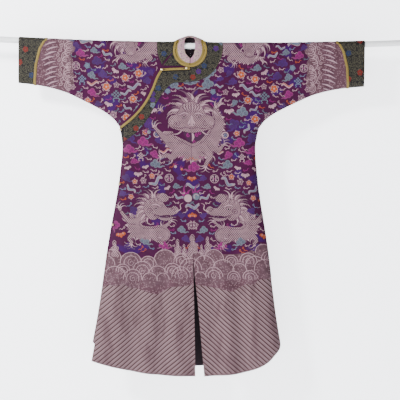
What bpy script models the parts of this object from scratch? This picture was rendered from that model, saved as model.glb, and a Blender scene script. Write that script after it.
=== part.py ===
"""Chinese dragon robe hung on a round rod that runs through both sleeves.

The robe is cut as the real one: two halves folded over at the shoulders and joined down the centre,
an inner front under an outer lap that crosses to the wearer's right, shaped cuffs, a dark band round
the neck and along the lap, gold braid on the band's edges, a pale neck facing and five ball buttons.

Frame: metres, +Z up. The wearer's left is +X and the front faces -Y. The origin is the middle of the
rod, on its axis. A place on the cloth is written (x, s): x across, and s down the cloth from the
shoulder fold, positive on the front and negative on the back. drape() turns that into a point.
"""

import math

import bmesh
import bpy
import numpy as np
from mathutils import Matrix, Vector

# Driving sizes, in metres.
WALL = 0.0020
BAND_WALL = 0.0010
BRAID_WALL = 0.0010
FACING_WALL = 0.0016
SEAM = 0.0003
LAP_LIFT = 0.0036

ROD_RADIUS = 0.0125
ROD_HALF = 0.900
ROD_RISE = 0.0155
ROD_RISE_AT = 0.720
ROD_SIDES = 16
REST_GAP = 0.0006

FOLD_RADIUS = ROD_RADIUS + REST_GAP + WALL / 2
OVER_ROD = math.pi * FOLD_RADIUS / 2
RISE_FADE = 0.16

ARMHOLE = 0.300
LEFT_END = 0.728
RIGHT_END = -0.714
NECK_RADIUS = 0.0615
NECK_DROP = 0.0417
NECK_STAND = 0.0395
FACING_STAND = 0.0030
NECK_STAND_FADE = 0.060
BRAID_WIDTH = 0.0095
CUFF_BRAID_WIDTH = 0.010

# Half the width between the side seams, by height.
SIDE_TABLE = (
    # height, half_width
    (-0.340, 0.2900),
    (-0.390, 0.2795),
    (-0.440, 0.2765),
    (-0.560, 0.2880),
    (-0.660, 0.3030),
    (-0.750, 0.3190),
    (-0.860, 0.3360),
    (-1.000, 0.3540),
    (-1.120, 0.3710),
    (-1.240, 0.3920),
)
# The underarm seam, from the cuff in to the armpit.
UNDERARM_TABLE = (
    # distance_from_centre, height
    (0.800, -0.154),
    (0.720, -0.161),
    (0.650, -0.168),
    (0.594, -0.177),
    (0.546, -0.189),
    (0.504, -0.203),
    (0.456, -0.225),
    (0.407, -0.249),
    (0.355, -0.277),
    (0.314, -0.308),
    (0.290, -0.340),
)
# How far each cuff reaches in from the sleeve's end, by height.
CUFF_TABLE = (
    # height, width
    (-0.200, 0.0680),
    (-0.160, 0.0680),
    (-0.090, 0.0730),
    (-0.030, 0.0890),
    (0.020, 0.1180),
    (0.080, 0.1400),
)
# The hem of the outer lap, and of the front on the wearer's left.
LAP_HEM_TABLE = (
    # x, height
    (-0.391, -1.316),
    (-0.308, -1.336),
    (-0.233, -1.352),
    (-0.175, -1.361),
    (-0.109, -1.368),
    (-0.042, -1.371),
    (0.039, -1.3715),
)
LEFT_HEM_TABLE = (
    # x, height
    (0.075, -1.3720),
    (0.149, -1.3670),
    (0.226, -1.3550),
    (0.288, -1.3340),
    (0.330, -1.3110),
    (0.364, -1.2790),
    (0.384, -1.2580),
    (0.3916, -1.2390),
)
BACK_HEM_TABLE = (
    # distance_from_centre, height
    (0.000, -1.3400),
    (0.150, -1.3300),
    (0.260, -1.3050),
    (0.340, -1.2720),
    (0.3916, -1.2390),
)
# The outer lap's top edge, from the neck to its corner.
LAP_TOP_TABLE = (
    # x, height
    (-0.0002, -0.0912),
    (-0.0600, -0.0938),
    (-0.1200, -0.0985),
)
# The lap's free edge from the corner to the armpit, and on down the side.
LAP_EDGE_TABLE = (
    # x, height
    (-0.1200, -0.0985),
    (-0.1400, -0.1340),
    (-0.1610, -0.1890),
    (-0.1900, -0.2430),
    (-0.2310, -0.2930),
    (-0.2840, -0.3400),
    (-0.2755, -0.3900),
    (-0.2725, -0.4400),
    (-0.2830, -0.5600),
    (-0.2970, -0.6600),
    (-0.3110, -0.7500),
    (-0.3200, -0.8130),
    (-0.3340, -0.9290),
    (-0.3560, -1.0830),
    (-0.3680, -1.1610),
    (-0.3800, -1.2490),
    (-0.3910, -1.3160),
)
# The outer edge of the dark band round the neck: 0 is over the side of the neck, 90 the back.
BAND_TABLE = (
    # degrees, radius
    (-90.0, 0.1310),
    (-20.0, 0.1320),
    (15.0, 0.1410),
    (50.0, 0.1340),
    (90.0, 0.1280),
)
# The lower edge of the dark band on the lap.
BAND_LOWER_TABLE = (
    # x, height
    (-0.0002, -0.1540),
    (-0.0400, -0.1550),
    (-0.0740, -0.1610),
    (-0.1100, -0.1980),
    (-0.1380, -0.2450),
    (-0.1710, -0.3060),
    (-0.2120, -0.3590),
    (-0.2490, -0.3900),
    (-0.2730, -0.4070),
)
# The centre line leans to the wearer's left as it goes down; below the vent it opens.
CENTRE_TABLE = (
    # height, lap_edge, left_edge, back_right_edge, back_left_edge
    (0.000, 0.000, 0.000, 0.000, 0.000),
    (-0.080, 0.000, 0.000, 0.000, 0.000),
    (-0.560, 0.014, 0.014, 0.010, 0.010),
    (-0.867, 0.0225, 0.0225, 0.014, 0.014),
    (-0.954, 0.026, 0.030, 0.0145, 0.016),
    (-1.058, 0.029, 0.043, 0.015, 0.019),
    (-1.182, 0.033, 0.056, 0.015, 0.023),
    (-1.372, 0.0385, 0.075, 0.015, 0.028),
)
# How far the cloth stands from the rod's plane, by height.
DEPTH_TABLE = (
    # height, front, back
    (0.000, FOLD_RADIUS, FOLD_RADIUS),
    (-0.060, FOLD_RADIUS, FOLD_RADIUS),
    (-0.350, 0.0200, 0.0165),
    (-0.900, 0.0310, 0.0200),
    (-1.380, 0.0400, 0.0240),
)
# The long soft folds of the skirt. A negative depth is a trough.
FRONT_FOLDS = (
    # x_top, x_hem, start_height, half_width, depth
    (-0.185, -0.225, -0.62, 0.040, -0.0075),
    (-0.135, -0.165, -0.70, 0.034, 0.0050),
    (-0.085, -0.110, -0.66, 0.036, -0.0070),
    (-0.235, -0.300, -0.60, 0.042, 0.0060),
    (-0.020, -0.035, -0.80, 0.036, 0.0050),
    (0.075, 0.120, -0.62, 0.038, -0.0085),
    (0.130, 0.190, -0.68, 0.036, 0.0070),
    (0.175, 0.245, -0.55, 0.036, -0.0080),
    (0.215, 0.300, -0.60, 0.036, 0.0060),
)
BACK_FOLDS = (
    # x_top, x_hem, start_height, half_width, depth
    (-0.190, -0.270, -0.58, 0.044, -0.0060),
    (-0.120, -0.170, -0.66, 0.040, 0.0060),
    (-0.060, -0.080, -0.60, 0.038, -0.0050),
    (0.070, 0.100, -0.62, 0.040, 0.0050),
    (0.130, 0.190, -0.56, 0.042, -0.0065),
    (0.200, 0.285, -0.64, 0.044, 0.0060),
)
FOLD_GROWTH = 0.50

BALL_RADIUS = 0.0050


def column(table, index):
    """One named column of a table, as an array."""
    return np.array([row[index] for row in table], float)


def smooth(t):
    """0 to 1 with no kink at either end."""
    t = np.clip(t, 0.0, 1.0)
    return t * t * (3.0 - 2.0 * t)


def curve_through(points, count):
    """count + 1 points evenly spaced along a smooth curve through the given ones."""
    p = np.array(points, float)
    ends = np.vstack([2 * p[0] - p[1], p, 2 * p[-1] - p[-2]])
    fine = []
    for a, b, c, d in zip(ends, ends[1:], ends[2:], ends[3:]):
        for t in np.linspace(0, 1, 12, endpoint=False):
            turned = (2 * a - 5 * b + 4 * c - d) * t**2 + (3 * b - a - 3 * c + d) * t**3
            fine.append(0.5 * (2 * b + (c - a) * t + turned))
    fine = np.array(fine + [p[-1]])
    length = np.concatenate([[0], np.cumsum(np.linalg.norm(np.diff(fine, axis=0), axis=1))])
    at = np.linspace(0, length[-1], count + 1)
    return np.column_stack([np.interp(at, length, fine[:, i]) for i in range(p.shape[1])])


def by_height(table, index, z):
    """Reads a column of a table whose first column is the height, going down."""
    heights = -column(table, 0)
    order = np.argsort(heights)
    return np.interp(-np.asarray(z, float), heights[order], column(table, index)[order])


def seam_outline():
    """The underarm seam and side seam as one smooth line, from past the cuff to past the hem."""
    sleeve = curve_through(UNDERARM_TABLE, 60)
    side = curve_through([(w, z) for z, w in SIDE_TABLE], 60)
    below = side[-1] + (side[-1] - side[-2]) * 12
    return np.vstack([sleeve, side[1:], below])


OUTLINE = seam_outline()


def seam_distance(x, z):
    """How far a place lies inside the underarm and side seams."""
    p = np.column_stack([np.abs(x), z])
    a, b = OUTLINE[:-1], OUTLINE[1:]
    ab = b - a
    t = ((p[:, None, :] - a) * ab).sum(2) / (ab**2).sum(1)
    near = a + np.clip(t, 0, 1)[:, :, None] * ab
    return np.linalg.norm(p[:, None, :] - near, axis=2).min(1)


def fold_relief(x, z, table):
    """How far the soft folds move the cloth outwards."""
    total = np.zeros(len(x))
    for x_top, x_hem, start, half_width, depth in table:
        down = np.clip((start - z) / (start + 1.372), 0, 1)
        middle = x_top + (x_hem - x_top) * down
        growth = smooth((start - z) / FOLD_GROWTH)
        total += depth * growth * np.exp(-(((x - middle) / half_width) ** 2))
    return total


def stand_off(x, z, front):
    """Distance of the cloth's middle from the plane of the seams."""
    body = by_height(DEPTH_TABLE, 1 if front else 2, z)
    sleeve = FOLD_RADIUS * (1 - 0.25 * smooth(-z / 0.17))
    share = smooth((np.abs(x) - 0.25) / 0.14) * smooth((z + 0.46) / 0.10)
    full = body + (sleeve - body) * share
    rounding = 0.036 + 0.030 * smooth((-0.40 - z) / 0.5)
    inside = seam_distance(x, z) / rounding
    near_seam = np.clip(1 - inside, 0, 1)
    folds = fold_relief(x, z, FRONT_FOLDS if front else BACK_FOLDS)
    return full * np.sqrt(1 - near_seam**2) + folds * smooth(inside)


def rod_rise(x):
    """The rod bows: its ends stand higher than its middle."""
    return ROD_RISE * (np.asarray(x, float) / ROD_RISE_AT) ** 2


def neck_stand(x, s):
    """The back of the neck stands up behind the rod."""
    degrees = np.degrees(np.arctan2(NECK_DROP - s, np.abs(x)))
    radius = np.hypot(x, NECK_DROP - s)
    return NECK_STAND * smooth((degrees - 18) / 72) * (1 - smooth((radius - NECK_RADIUS) / NECK_STAND_FADE))


def drape(xs):
    """Points on the cloth's middle surface for places (x, s)."""
    xs = np.asarray(xs, float)
    shape = xs.shape[:-1]
    x, s = xs[..., 0].ravel(), xs[..., 1].ravel()
    front = s >= 0
    down = np.abs(s)
    angle = np.minimum(down, OVER_ROD) / FOLD_RADIUS
    z = np.where(down < OVER_ROD, FOLD_RADIUS * np.cos(angle), OVER_ROD - down)
    flat = np.minimum(z, 0.0)
    off = np.where(front, stand_off(x, flat, True), stand_off(x, flat, False))
    off = np.where(down < OVER_ROD, FOLD_RADIUS * np.sin(angle), off)
    off = np.maximum(off, SEAM / 2)
    y = np.where(front, -off, off)
    z = z + rod_rise(x) * (1 - smooth(-z / RISE_FADE)) + neck_stand(x, s)
    return np.stack([x, y, z], axis=-1).reshape(*shape, 3)


def s_of(z):
    """The distance down the cloth for a height on the front."""
    return OVER_ROD - np.asarray(z, float)


def lap_lift(x, z):
    """How far the outer lap stands off the level of the wearer's left front."""
    return LAP_LIFT * smooth((by_height(CENTRE_TABLE, 1, z) - x) / 0.10)


def inner_lift(x, z):
    """The inner front's level: one lift below the outer lap, and none at the shoulder."""
    return (lap_lift(x, z) - LAP_LIFT) * smooth((-0.010 - z) / 0.060)


def cuff_line(s, end):
    """Where the cuff meets the sleeve, at each distance down."""
    z = np.where(np.abs(s) < OVER_ROD, FOLD_RADIUS, OVER_ROD - np.abs(s))
    width = np.interp(z, column(CUFF_TABLE, 0), column(CUFF_TABLE, 1))
    return end - math.copysign(1, end) * width


def underarm(x):
    """Distance down the cloth to the underarm seam."""
    order = np.argsort(OUTLINE[:60, 0])
    return s_of(np.interp(np.abs(x), OUTLINE[:60, 0][order], OUTLINE[:60, 1][order]))


def material(name, colour, roughness, metallic=0.0):
    """A plain finish in the photo's colour."""
    made = bpy.data.materials.new(name)
    made.use_nodes = True
    shader = made.node_tree.nodes["Principled BSDF"]
    shader.inputs["Base Color"].default_value = (*colour, 1)
    shader.inputs["Roughness"].default_value = roughness
    shader.inputs["Metallic"].default_value = metallic
    return made


def link(name, mesh, finish):
    """Puts a mesh into the scene as a named piece."""
    mesh.materials.append(finish)
    mesh.shade_smooth()
    mesh.set_sharp_from_angle(angle=math.radians(50))
    piece = bpy.data.objects.new(name, mesh)
    bpy.context.scene.collection.objects.link(piece)
    return piece


def vertex_normals(points, quads):
    """Area-weighted normals of a sheet."""
    normals = np.zeros_like(points)
    for quad in quads:
        a, b, c, d = points[list(quad)]
        n = np.cross(c - a, d - b)
        for i in quad:
            normals[i] += n
    return normals / np.linalg.norm(normals, axis=1, keepdims=True)


def wall(name, points, normals, quads, thickness, finish, lift=0.0):
    """A closed wall round a sheet: both faces, moved out by lift, and a rim along every free edge."""
    lift = np.broadcast_to(lift, (len(points),))[:, None]
    outer = points + normals * (lift + thickness / 2)
    inner = points + normals * (lift - thickness / 2)
    sides = set()
    for quad in quads:
        sides.update(zip(quad, quad[1:] + quad[:1]))
    mesh = bmesh.new()
    top = [mesh.verts.new(p) for p in outer]
    low = [mesh.verts.new(p) for p in inner]
    for quad in quads:
        mesh.faces.new([top[i] for i in quad])
        mesh.faces.new([low[i] for i in reversed(quad)])
    for a, b in sorted(sides):
        if (b, a) not in sides:
            mesh.faces.new([top[b], top[a], low[a], low[b]])
    data = bpy.data.meshes.new(name)
    mesh.to_mesh(data)
    mesh.free()
    return link(name, data, finish)


def grid_quads(rows, columns, flip):
    """Quads of a grid stored row by row."""
    quads = []
    for r in range(rows - 1):
        for c in range(columns - 1):
            a = r * columns + c
            b = a + columns
            quads.append((a, b, b + 1, a + 1) if flip else (a, a + 1, b + 1, b))
    return quads


# Distances down the cloth at which the halves have a row of points.
OVER_ROWS = [OVER_ROD * i / 5 for i in range(6)]
NECK_ROWS = [NECK_DROP + NECK_RADIUS * math.sin(math.radians(a)) for a in (0, 15, 30, 45, 60, 75, 90)]
ARM_HEIGHTS = (-0.120, -0.155, -0.190, -0.225, -0.258, -0.286, -0.308, -0.326, -0.340)
SKIRT_HEIGHTS = (-0.39, -0.44, -0.51, -0.59, -0.67, -0.76, -0.86, -0.95, -1.04, -1.12, -1.19, -1.24)
ROWS = np.array(OVER_ROWS + NECK_ROWS + [s_of(z) for z in ARM_HEIGHTS + SKIRT_HEIGHTS])
ARM_ROW = len(OVER_ROWS) + len(NECK_ROWS) + len(ARM_HEIGHTS) - 1
ACROSS = np.array([0, 0.11, 0.22, 0.33, 0.44, 0.55, 0.66, 0.76, 0.84, 0.90, 0.95, 0.985, 1.0])
LAP_ACROSS = ACROSS[:12] / ACROSS[11]
ALONG_SLEEVE = np.array([0, 0.10, 0.22, 0.36, 0.50, 0.64, 0.78, 0.90, 1.0])
HEM_BLEND = -0.95
SIDE_END = SIDE_TABLE[-1][0]

LAP_EDGE = curve_through(LAP_EDGE_TABLE[5:], 60)
LAP_CURVE = curve_through(LAP_EDGE_TABLE[:6], 40)
LAP_TOP = curve_through(LAP_TOP_TABLE, 20)


def side_edge(z):
    """Half the width between the side seams at a height, below the armpit."""
    return np.interp(-np.asarray(z, float), -OUTLINE[60:, 1], OUTLINE[60:, 0])


def lap_edge(z):
    """The lap's free edge at a height, from the corner down to the hem."""
    line = np.vstack([LAP_CURVE, LAP_EDGE[1:]])
    return np.interp(-np.asarray(z, float), -line[:, 1], line[:, 0])


def edge_of(index):
    """The centre edge of a piece by height, from a column of the table of the centre line."""
    return lambda z: by_height(CENTRE_TABLE, index, z)


def lowered(z, share, start, stop, hem):
    """Heights of a skirt row, drawn down towards the hem's own line."""
    if z >= HEM_BLEND:
        return np.full(len(share), z)
    weight = smooth((HEM_BLEND - z) / (HEM_BLEND - SIDE_END)) ** 1.3
    first, last = float(start(-1.34)), float(stop(SIDE_END))
    at = first + (last - first) * share
    order = np.argsort(hem[:, 0])
    return z + weight * (np.interp(at, hem[order, 0], hem[order, 1]) - SIDE_END)


def half_body(side, front, start_edge, hem_table, under_lap):
    """Places (x, s) of one half of the front or back, and of its sleeve.

    side is 1 for the wearer's left and -1 for the right. start_edge gives x of the centre edge by
    height. Under the lap the columns stand exactly below the lap's own.
    """
    sign = 1 if front else -1
    end = LEFT_END if side > 0 else RIGHT_END
    hem = curve_through(hem_table, 80)
    places = []
    for row, s in enumerate(ROWS):
        z = OVER_ROD - s
        share = ACROSS
        if row > ARM_ROW:
            heights = lowered(z, share, start_edge, lambda v: side * side_edge(v), hem)
            start = start_edge(heights) + side * SEAM / 2
            outer = side * side_edge(heights)
            x = start + (outer - start) * share
            if under_lap:
                lap = edge_of(1)(heights)[1:-1]
                x[1:-1] = lap + (lap_edge(heights)[1:-1] - lap) * LAP_ACROSS[1:]
            places.append(np.column_stack([x, sign * s_of(heights)]))
            continue
        start = float(start_edge(min(z, 0.0))) + side * SEAM / 2
        into_neck = NECK_RADIUS**2 - (sign * s - NECK_DROP) ** 2
        if into_neck > 0:
            start = side * max(math.sqrt(into_neck), abs(start))
        outer = side * (ARMHOLE - 0.010 * smooth(-z / 0.34))
        places.append(np.column_stack([start + (outer - start) * share, np.full(len(share), sign * s)]))
    body = np.array(places)
    sleeve = []
    for row in range(ARM_ROW + 1):
        shared = body[row, -1]
        x = shared[0] + (end - shared[0]) * ALONG_SLEEVE
        for _ in range(4):
            s = down_sleeve(row, x)
            x = shared[0] + (cuff_line(s, end) - side * SEAM / 2 - shared[0]) * ALONG_SLEEVE
        s[0] = abs(shared[1])
        sleeve.append(np.column_stack([x, sign * s]))
    return body, np.array(sleeve)


def down_sleeve(row, x):
    """Distance down the cloth of a row of points along the sleeve."""
    if row < len(OVER_ROWS):
        return np.full(len(x), ROWS[row])
    share = (ROWS[row] - OVER_ROD) / (ROWS[ARM_ROW] - OVER_ROD)
    return OVER_ROD + share * (underarm(x) - OVER_ROD)


def build_half(name, side, front, start_edge, hem_table, finish, lift=None, under_lap=False):
    """One half of the front or back with its sleeve, as a single wall."""
    body, sleeve = half_body(side, front, start_edge, hem_table, under_lap)
    rows, across = body.shape[:2]
    flip = (side > 0) == front
    places = np.vstack([body.reshape(-1, 2), sleeve[:, 1:].reshape(-1, 2)])
    quads = grid_quads(rows, across, flip)
    width = sleeve.shape[1] - 1
    index = np.empty(sleeve.shape[:2], int)
    index[:, 0] = [r * across + across - 1 for r in range(len(sleeve))]
    index[:, 1:] = rows * across + np.arange(len(sleeve) * width).reshape(len(sleeve), width)
    for r in range(len(sleeve) - 1):
        for c in range(width):
            a, b = index[r, c], index[r, c + 1]
            far, d = index[r + 1, c + 1], index[r + 1, c]
            quads.append((a, d, far, b) if flip else (a, b, far, d))
    points = drape(places)
    top_rim = list(range(across)) + list(index[0, 1:])
    side_rim = [r * across + across - 1 for r in range(ARM_ROW, rows)] + list(index[-1, 1:])
    points[top_rim + side_rim, 1] = (-1 if front else 1) * SEAM / 2
    normals = vertex_normals(points, quads)
    normals[top_rim + side_rim, 1] = 0.0
    normals /= np.linalg.norm(normals, axis=1, keepdims=True)
    levels = np.zeros(len(points)) if lift is None else lift(places[:, 0], OVER_ROD - np.abs(places[:, 1]))
    wall(name, points, normals, quads, WALL, finish, levels)
    return Sheet(places, points, normals, levels, rows, across)


class Sheet:
    """The cloth of a panel as rows of points, so that what lies on it is made from them."""

    def __init__(self, places, points, normals, levels, rows, across):
        values = np.column_stack([places, points, normals, levels])[: rows * across]
        self.rows = values.reshape(rows, across, 9)
        if self.rows[0, 0, 0] > self.rows[0, -1, 0]:
            self.rows = self.rows[:, ::-1]

    def at(self, x, s):
        """Point, normal and level of the cloth at a place."""
        lines = np.array([[np.interp(x, row[:, 0], row[:, i]) for i in range(1, 9)] for row in self.rows])
        lines[:, 1] += x - np.clip(x, self.rows[:, 0, 0], self.rows[:, -1, 0])
        downs = np.abs(lines[:, 0])
        below = int(np.clip(np.searchsorted(downs, abs(s)), 1, len(lines) - 1))
        share = np.clip((abs(s) - downs[below - 1]) / (downs[below] - downs[below - 1]), 0, 1)
        values = lines[below - 1] * (1 - share) + lines[below] * share
        return values[1:4], values[4:7], values[7]


def build_lap(finish):
    """The outer lap: from the centre seam across to the wearer's right side."""
    hem = curve_through(LAP_HEM_TABLE, 60)
    x = LAP_TOP[-1, 0] * LAP_ACROSS
    rows = [np.column_stack([x, np.interp(-x, -LAP_TOP[:, 0], LAP_TOP[:, 1])])]
    rows[0][0, 0] = -SEAM / 2
    for z in ARM_HEIGHTS + SKIRT_HEIGHTS:
        heights = np.full(len(LAP_ACROSS), z)
        if z < HEM_BLEND:
            at = 0.0385 + (-0.391 - 0.0385) * LAP_ACROSS
            weight = smooth((HEM_BLEND - z) / (HEM_BLEND - SIDE_END)) ** 1.3
            order = np.argsort(hem[:, 0])
            heights = z + weight * (np.interp(at, hem[order, 0], hem[order, 1]) - SIDE_END)
        start = edge_of(1)(heights) - SEAM / 2
        rows.append(np.column_stack([start + (lap_edge(heights) - start) * LAP_ACROSS, heights]))
    places = np.array(rows).reshape(-1, 2)
    levels = lap_lift(places[:, 0], places[:, 1])
    places[:, 1] = s_of(places[:, 1])
    quads = grid_quads(len(rows), len(LAP_ACROSS), False)
    points = drape(places)
    normals = vertex_normals(points, quads)
    wall("outer_lap", points, normals, quads, WALL, finish, levels)
    return Sheet(places, points, normals, levels, len(rows), len(LAP_ACROSS))


TURN_EASE = 0.0022


def lay(name, grids, panel_at, thickness, finish, lift, eased=False):
    """A band on the cloth. grids holds (places (x, s) in rows, turned) and shared places are joined.

    eased draws the band up to the lap's level at the centre line. Where the cloth turns in to a
    side seam or up behind the neck, the band stands a little freer of it.
    """
    points, normals, levels, quads = [], [], [], []
    seen = {}
    for places, turned in grids:
        index = []
        for x, s in places.reshape(-1, 2):
            key = (round(x, 6), round(s, 6))
            if key not in seen:
                seen[key] = len(points)
                point, normal, level = panel_at(x, s).at(x, s)
                points.append(point)
                normals.append(normal)
                turning = 1 - float(smooth((seam_distance([x], [OVER_ROD - abs(s)])[0] - 0.020) / 0.045))
                turning = max(turning, 0.6 * min(1.0, float(neck_stand(x, s)) / 0.003))
                levels.append((level * float(smooth(-x / 0.05)) if eased else level) + TURN_EASE * turning)
            index.append(seen[key])
        for quad in grid_quads(places.shape[0], places.shape[1], turned):
            quads.append(tuple(index[i] for i in quad))
    return wall(
        name, np.array(points), np.array(normals), quads, thickness, finish, np.array(levels) + lift
    )


BAND_LIFT = WALL / 2 + 0.0005 + BAND_WALL / 2
BRAID_LIFT = BAND_LIFT + BAND_WALL / 2 + 0.0010 + BRAID_WALL / 2
BAND_INNER = NECK_RADIUS + 0.0006
BRAID_INNER = NECK_RADIUS - 0.0004
BRAID_OUTER = BRAID_INNER + BRAID_WIDTH


def ring_line(radius_at):
    """Half of a ring's outline as x by s; radius_at gives the radius by degrees."""
    degrees = np.linspace(-90, 90, 181)
    a = np.radians(degrees)
    radius = radius_at(degrees)
    s, x = NECK_DROP - radius * np.sin(a), radius * np.cos(a)
    order = np.argsort(s)
    return lambda at: np.interp(at, s[order], x[order], left=0.0, right=0.0)


BAND_LINE = ring_line(lambda degrees: np.interp(degrees, column(BAND_TABLE, 0), column(BAND_TABLE, 1)))
BAND_HOLE = ring_line(lambda degrees: np.full(len(degrees), BAND_INNER))
BRAID_LINE = ring_line(lambda degrees: np.full(len(degrees), BRAID_OUTER))
BRAID_HOLE = ring_line(lambda degrees: np.full(len(degrees), BRAID_INNER))
BACK_BAND_ROWS = [-s for s in OVER_ROWS] + [-0.0320, -0.0440, -0.0560, -0.0680, -0.0770, -0.0830, -0.0860]
FRONT_BAND_ROWS = OVER_ROWS + NECK_ROWS + [0.1160, 0.1300, 0.1430, 0.1540, 0.1630, 0.1690, 0.1722]
OPENING_TOP = (0.0720, 0.0540)
OPENING_END = (0.1190, 0.1150)
OPENING_WIDTH = 0.0075


def opening(s):
    """Distance from the centre of the slanting opening between the band's two ends, at each s."""
    return np.interp(s, [OPENING_TOP[1], OPENING_END[1]], [OPENING_TOP[0], OPENING_END[0]])


def band_rows(side, downs, inner, outer, across):
    """Rows of places across a band, between two lines of distances from the centre."""
    shares = np.linspace(0, 1, across + 1)
    rows = [[(side * (inner(s) + (outer(s) - inner(s)) * v), s) for v in shares] for s in downs]
    return np.array(rows, float)


def build_neck_bands(panel_at, band, gold):
    """The dark band and the braid round the neck."""

    def hole(s):
        return max(float(BAND_HOLE(s)), 0.0004)

    def past_opening(s):
        return max(hole(s), float(opening(s)) if s > OPENING_TOP[1] - 0.012 else 0.0)

    front = band_rows(1, FRONT_BAND_ROWS, hole, BAND_LINE, 4)
    back = band_rows(1, BACK_BAND_ROWS, hole, BAND_LINE, 4)
    lay("neck_band_left", [(front, True), (back, False)], panel_at, BAND_WALL, band, BAND_LIFT)
    downs = OVER_ROWS + [0.0320, 0.0420, 0.0540, 0.0660, 0.0780, 0.0900, 0.0990, 0.1053]
    front = band_rows(-1, downs, past_opening, BAND_LINE, 4)
    back = band_rows(-1, BACK_BAND_ROWS, hole, BAND_LINE, 4)
    lay("neck_band_right", [(front, False), (back, True)], panel_at, BAND_WALL, band, BAND_LIFT)

    def ring_side(s):
        return max(float(BAND_HOLE(s)), 0.012)

    def opening_side(s):
        return float(opening(s)) - OPENING_WIDTH

    low = [0.0570, 0.0640, 0.0720, 0.0800, 0.0880, 0.0950, 0.1010, 0.1070]
    under = band_rows(-1, low, ring_side, opening_side, 4)
    lay("neck_band_under", [(under, False)], panel_at, BAND_WALL, band, BAND_LIFT)

    downs = OVER_ROWS + NECK_ROWS[:-1] + [0.1026, 0.1065, NECK_DROP + BRAID_OUTER - 0.0018]
    ups = [-s for s in OVER_ROWS] + [-0.0255, -0.0281]
    grids = []
    for side in (1, -1):
        front = band_rows(side, downs, BRAID_HOLE, BRAID_LINE, 1)
        low = np.array(downs) > 0.09
        front[low, 0, 0] = side * np.maximum(np.abs(front[low, 0, 0]), 0.0008)
        grids.append((front, side > 0))
        grids.append((band_rows(side, ups, BRAID_HOLE, BRAID_LINE, 1), side < 0))
    lay("neck_braid", grids, panel_at, BRAID_WALL, gold, BRAID_LIFT, True)


def lap_line(top_steps, curve_steps, low):
    """Points along the lap's free edge, from the centre to the armpit and down to a height."""
    parts = [curve_through(LAP_TOP_TABLE, top_steps), curve_through(LAP_EDGE_TABLE[:6], curve_steps)[1:]]
    if low < -0.345:
        heights = np.array([-0.3550, -0.3720, low])
        parts.append(np.column_stack([lap_edge(heights), heights]))
    return np.vstack(parts)


def build_lap_bands(lap, band, gold):
    """The dark band and the braid along the lap's free edge."""
    edge = lap_line(7, 14, -0.3900)
    lower = curve_through(BAND_LOWER_TABLE, len(edge) - 1)
    shares = np.linspace(0, 1, 5)[None, :, None]
    near = edge + np.array([0.0006, -0.0006])
    near[:, 0] = np.minimum(near[:, 0], -0.0004)
    places = near[:, None] * (1 - shares) + lower[:, None] * shares
    places[..., 1] = s_of(places[..., 1])
    lay("lap_band", [(places, True)], lambda x, s: lap, BAND_WALL, band, BAND_LIFT)
    edge = lap_line(8, 16, -0.3400)
    along = np.gradient(edge, axis=0)
    along /= np.linalg.norm(along, axis=1, keepdims=True)
    inwards = np.column_stack([-along[:, 1], along[:, 0]])
    places = np.stack([edge + inwards * 0.0008, edge + inwards * (0.0008 + BRAID_WIDTH)], axis=1)
    places[..., 1] = s_of(places[..., 1])
    lay("lap_braid", [(places, True)], lambda x, s: lap, BRAID_WALL, gold, BRAID_LIFT)


def build_tube(name, end, near, far, across, thickness, lift, finish):
    """A closed tube round the sleeve, between two distances out from the cuff's seam.

    far of None stands for the sleeve's end.
    """
    side = math.copysign(1, end)
    shares = np.linspace(0, 1, across + 1)
    order = [(1, r) for r in range(ARM_ROW + 1)] + [(-1, r) for r in range(ARM_ROW - 1, 0, -1)]
    places = []
    for sign, row in order:
        x = np.full(across + 1, end)
        for _ in range(4):
            s = down_sleeve(row, x)
            line = cuff_line(s, end)
            stop = np.full(across + 1, end) if far is None else line + side * far
            x = (line + side * near) * (1 - shares) + stop * shares
        places.append(np.column_stack([x, sign * s]))
    places = np.array(places)
    points = drape(places)
    points[[0, ARM_ROW], :, 1] = 0.0
    quads = grid_quads(len(order), across + 1, end > 0)
    last = (len(order) - 1) * (across + 1)
    for c in range(across):
        a, b = last + c, c
        quads.append((a, b, b + 1, a + 1) if end > 0 else (a, a + 1, b + 1, b))
    points = points.reshape(-1, 3)
    return wall(name, points, vertex_normals(points, quads), quads, thickness, finish, lift)


# The neck facing's free inner edge, seen from the front: it leans up over the rod.
FACING_RIM = (
    # degrees, x, y, z
    (-89.0, 0.0030, -0.0150, -0.0545),
    (-70.0, 0.0090, -0.0158, -0.0480),
    (-45.0, 0.0165, -0.0162, -0.0360),
    (-20.0, 0.0205, -0.0164, -0.0180),
    (0.0, 0.0212, -0.0165, 0.0000),
    (20.0, 0.0208, -0.0164, 0.0160),
    (45.0, 0.0200, -0.0120, 0.0270),
    (65.0, 0.0150, -0.0020, 0.0340),
    (90.0, -0.0010, 0.0040, 0.0380),
    (115.0, -0.0170, -0.0020, 0.0340),
    (135.0, -0.0220, -0.0120, 0.0270),
    (160.0, -0.0232, -0.0164, 0.0160),
    (180.0, -0.0236, -0.0165, 0.0000),
    (200.0, -0.0236, -0.0164, -0.0170),
    (225.0, -0.0180, -0.0162, -0.0340),
    (250.0, -0.0080, -0.0158, -0.0460),
    (269.0, 0.0010, -0.0150, -0.0545),
)


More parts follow.
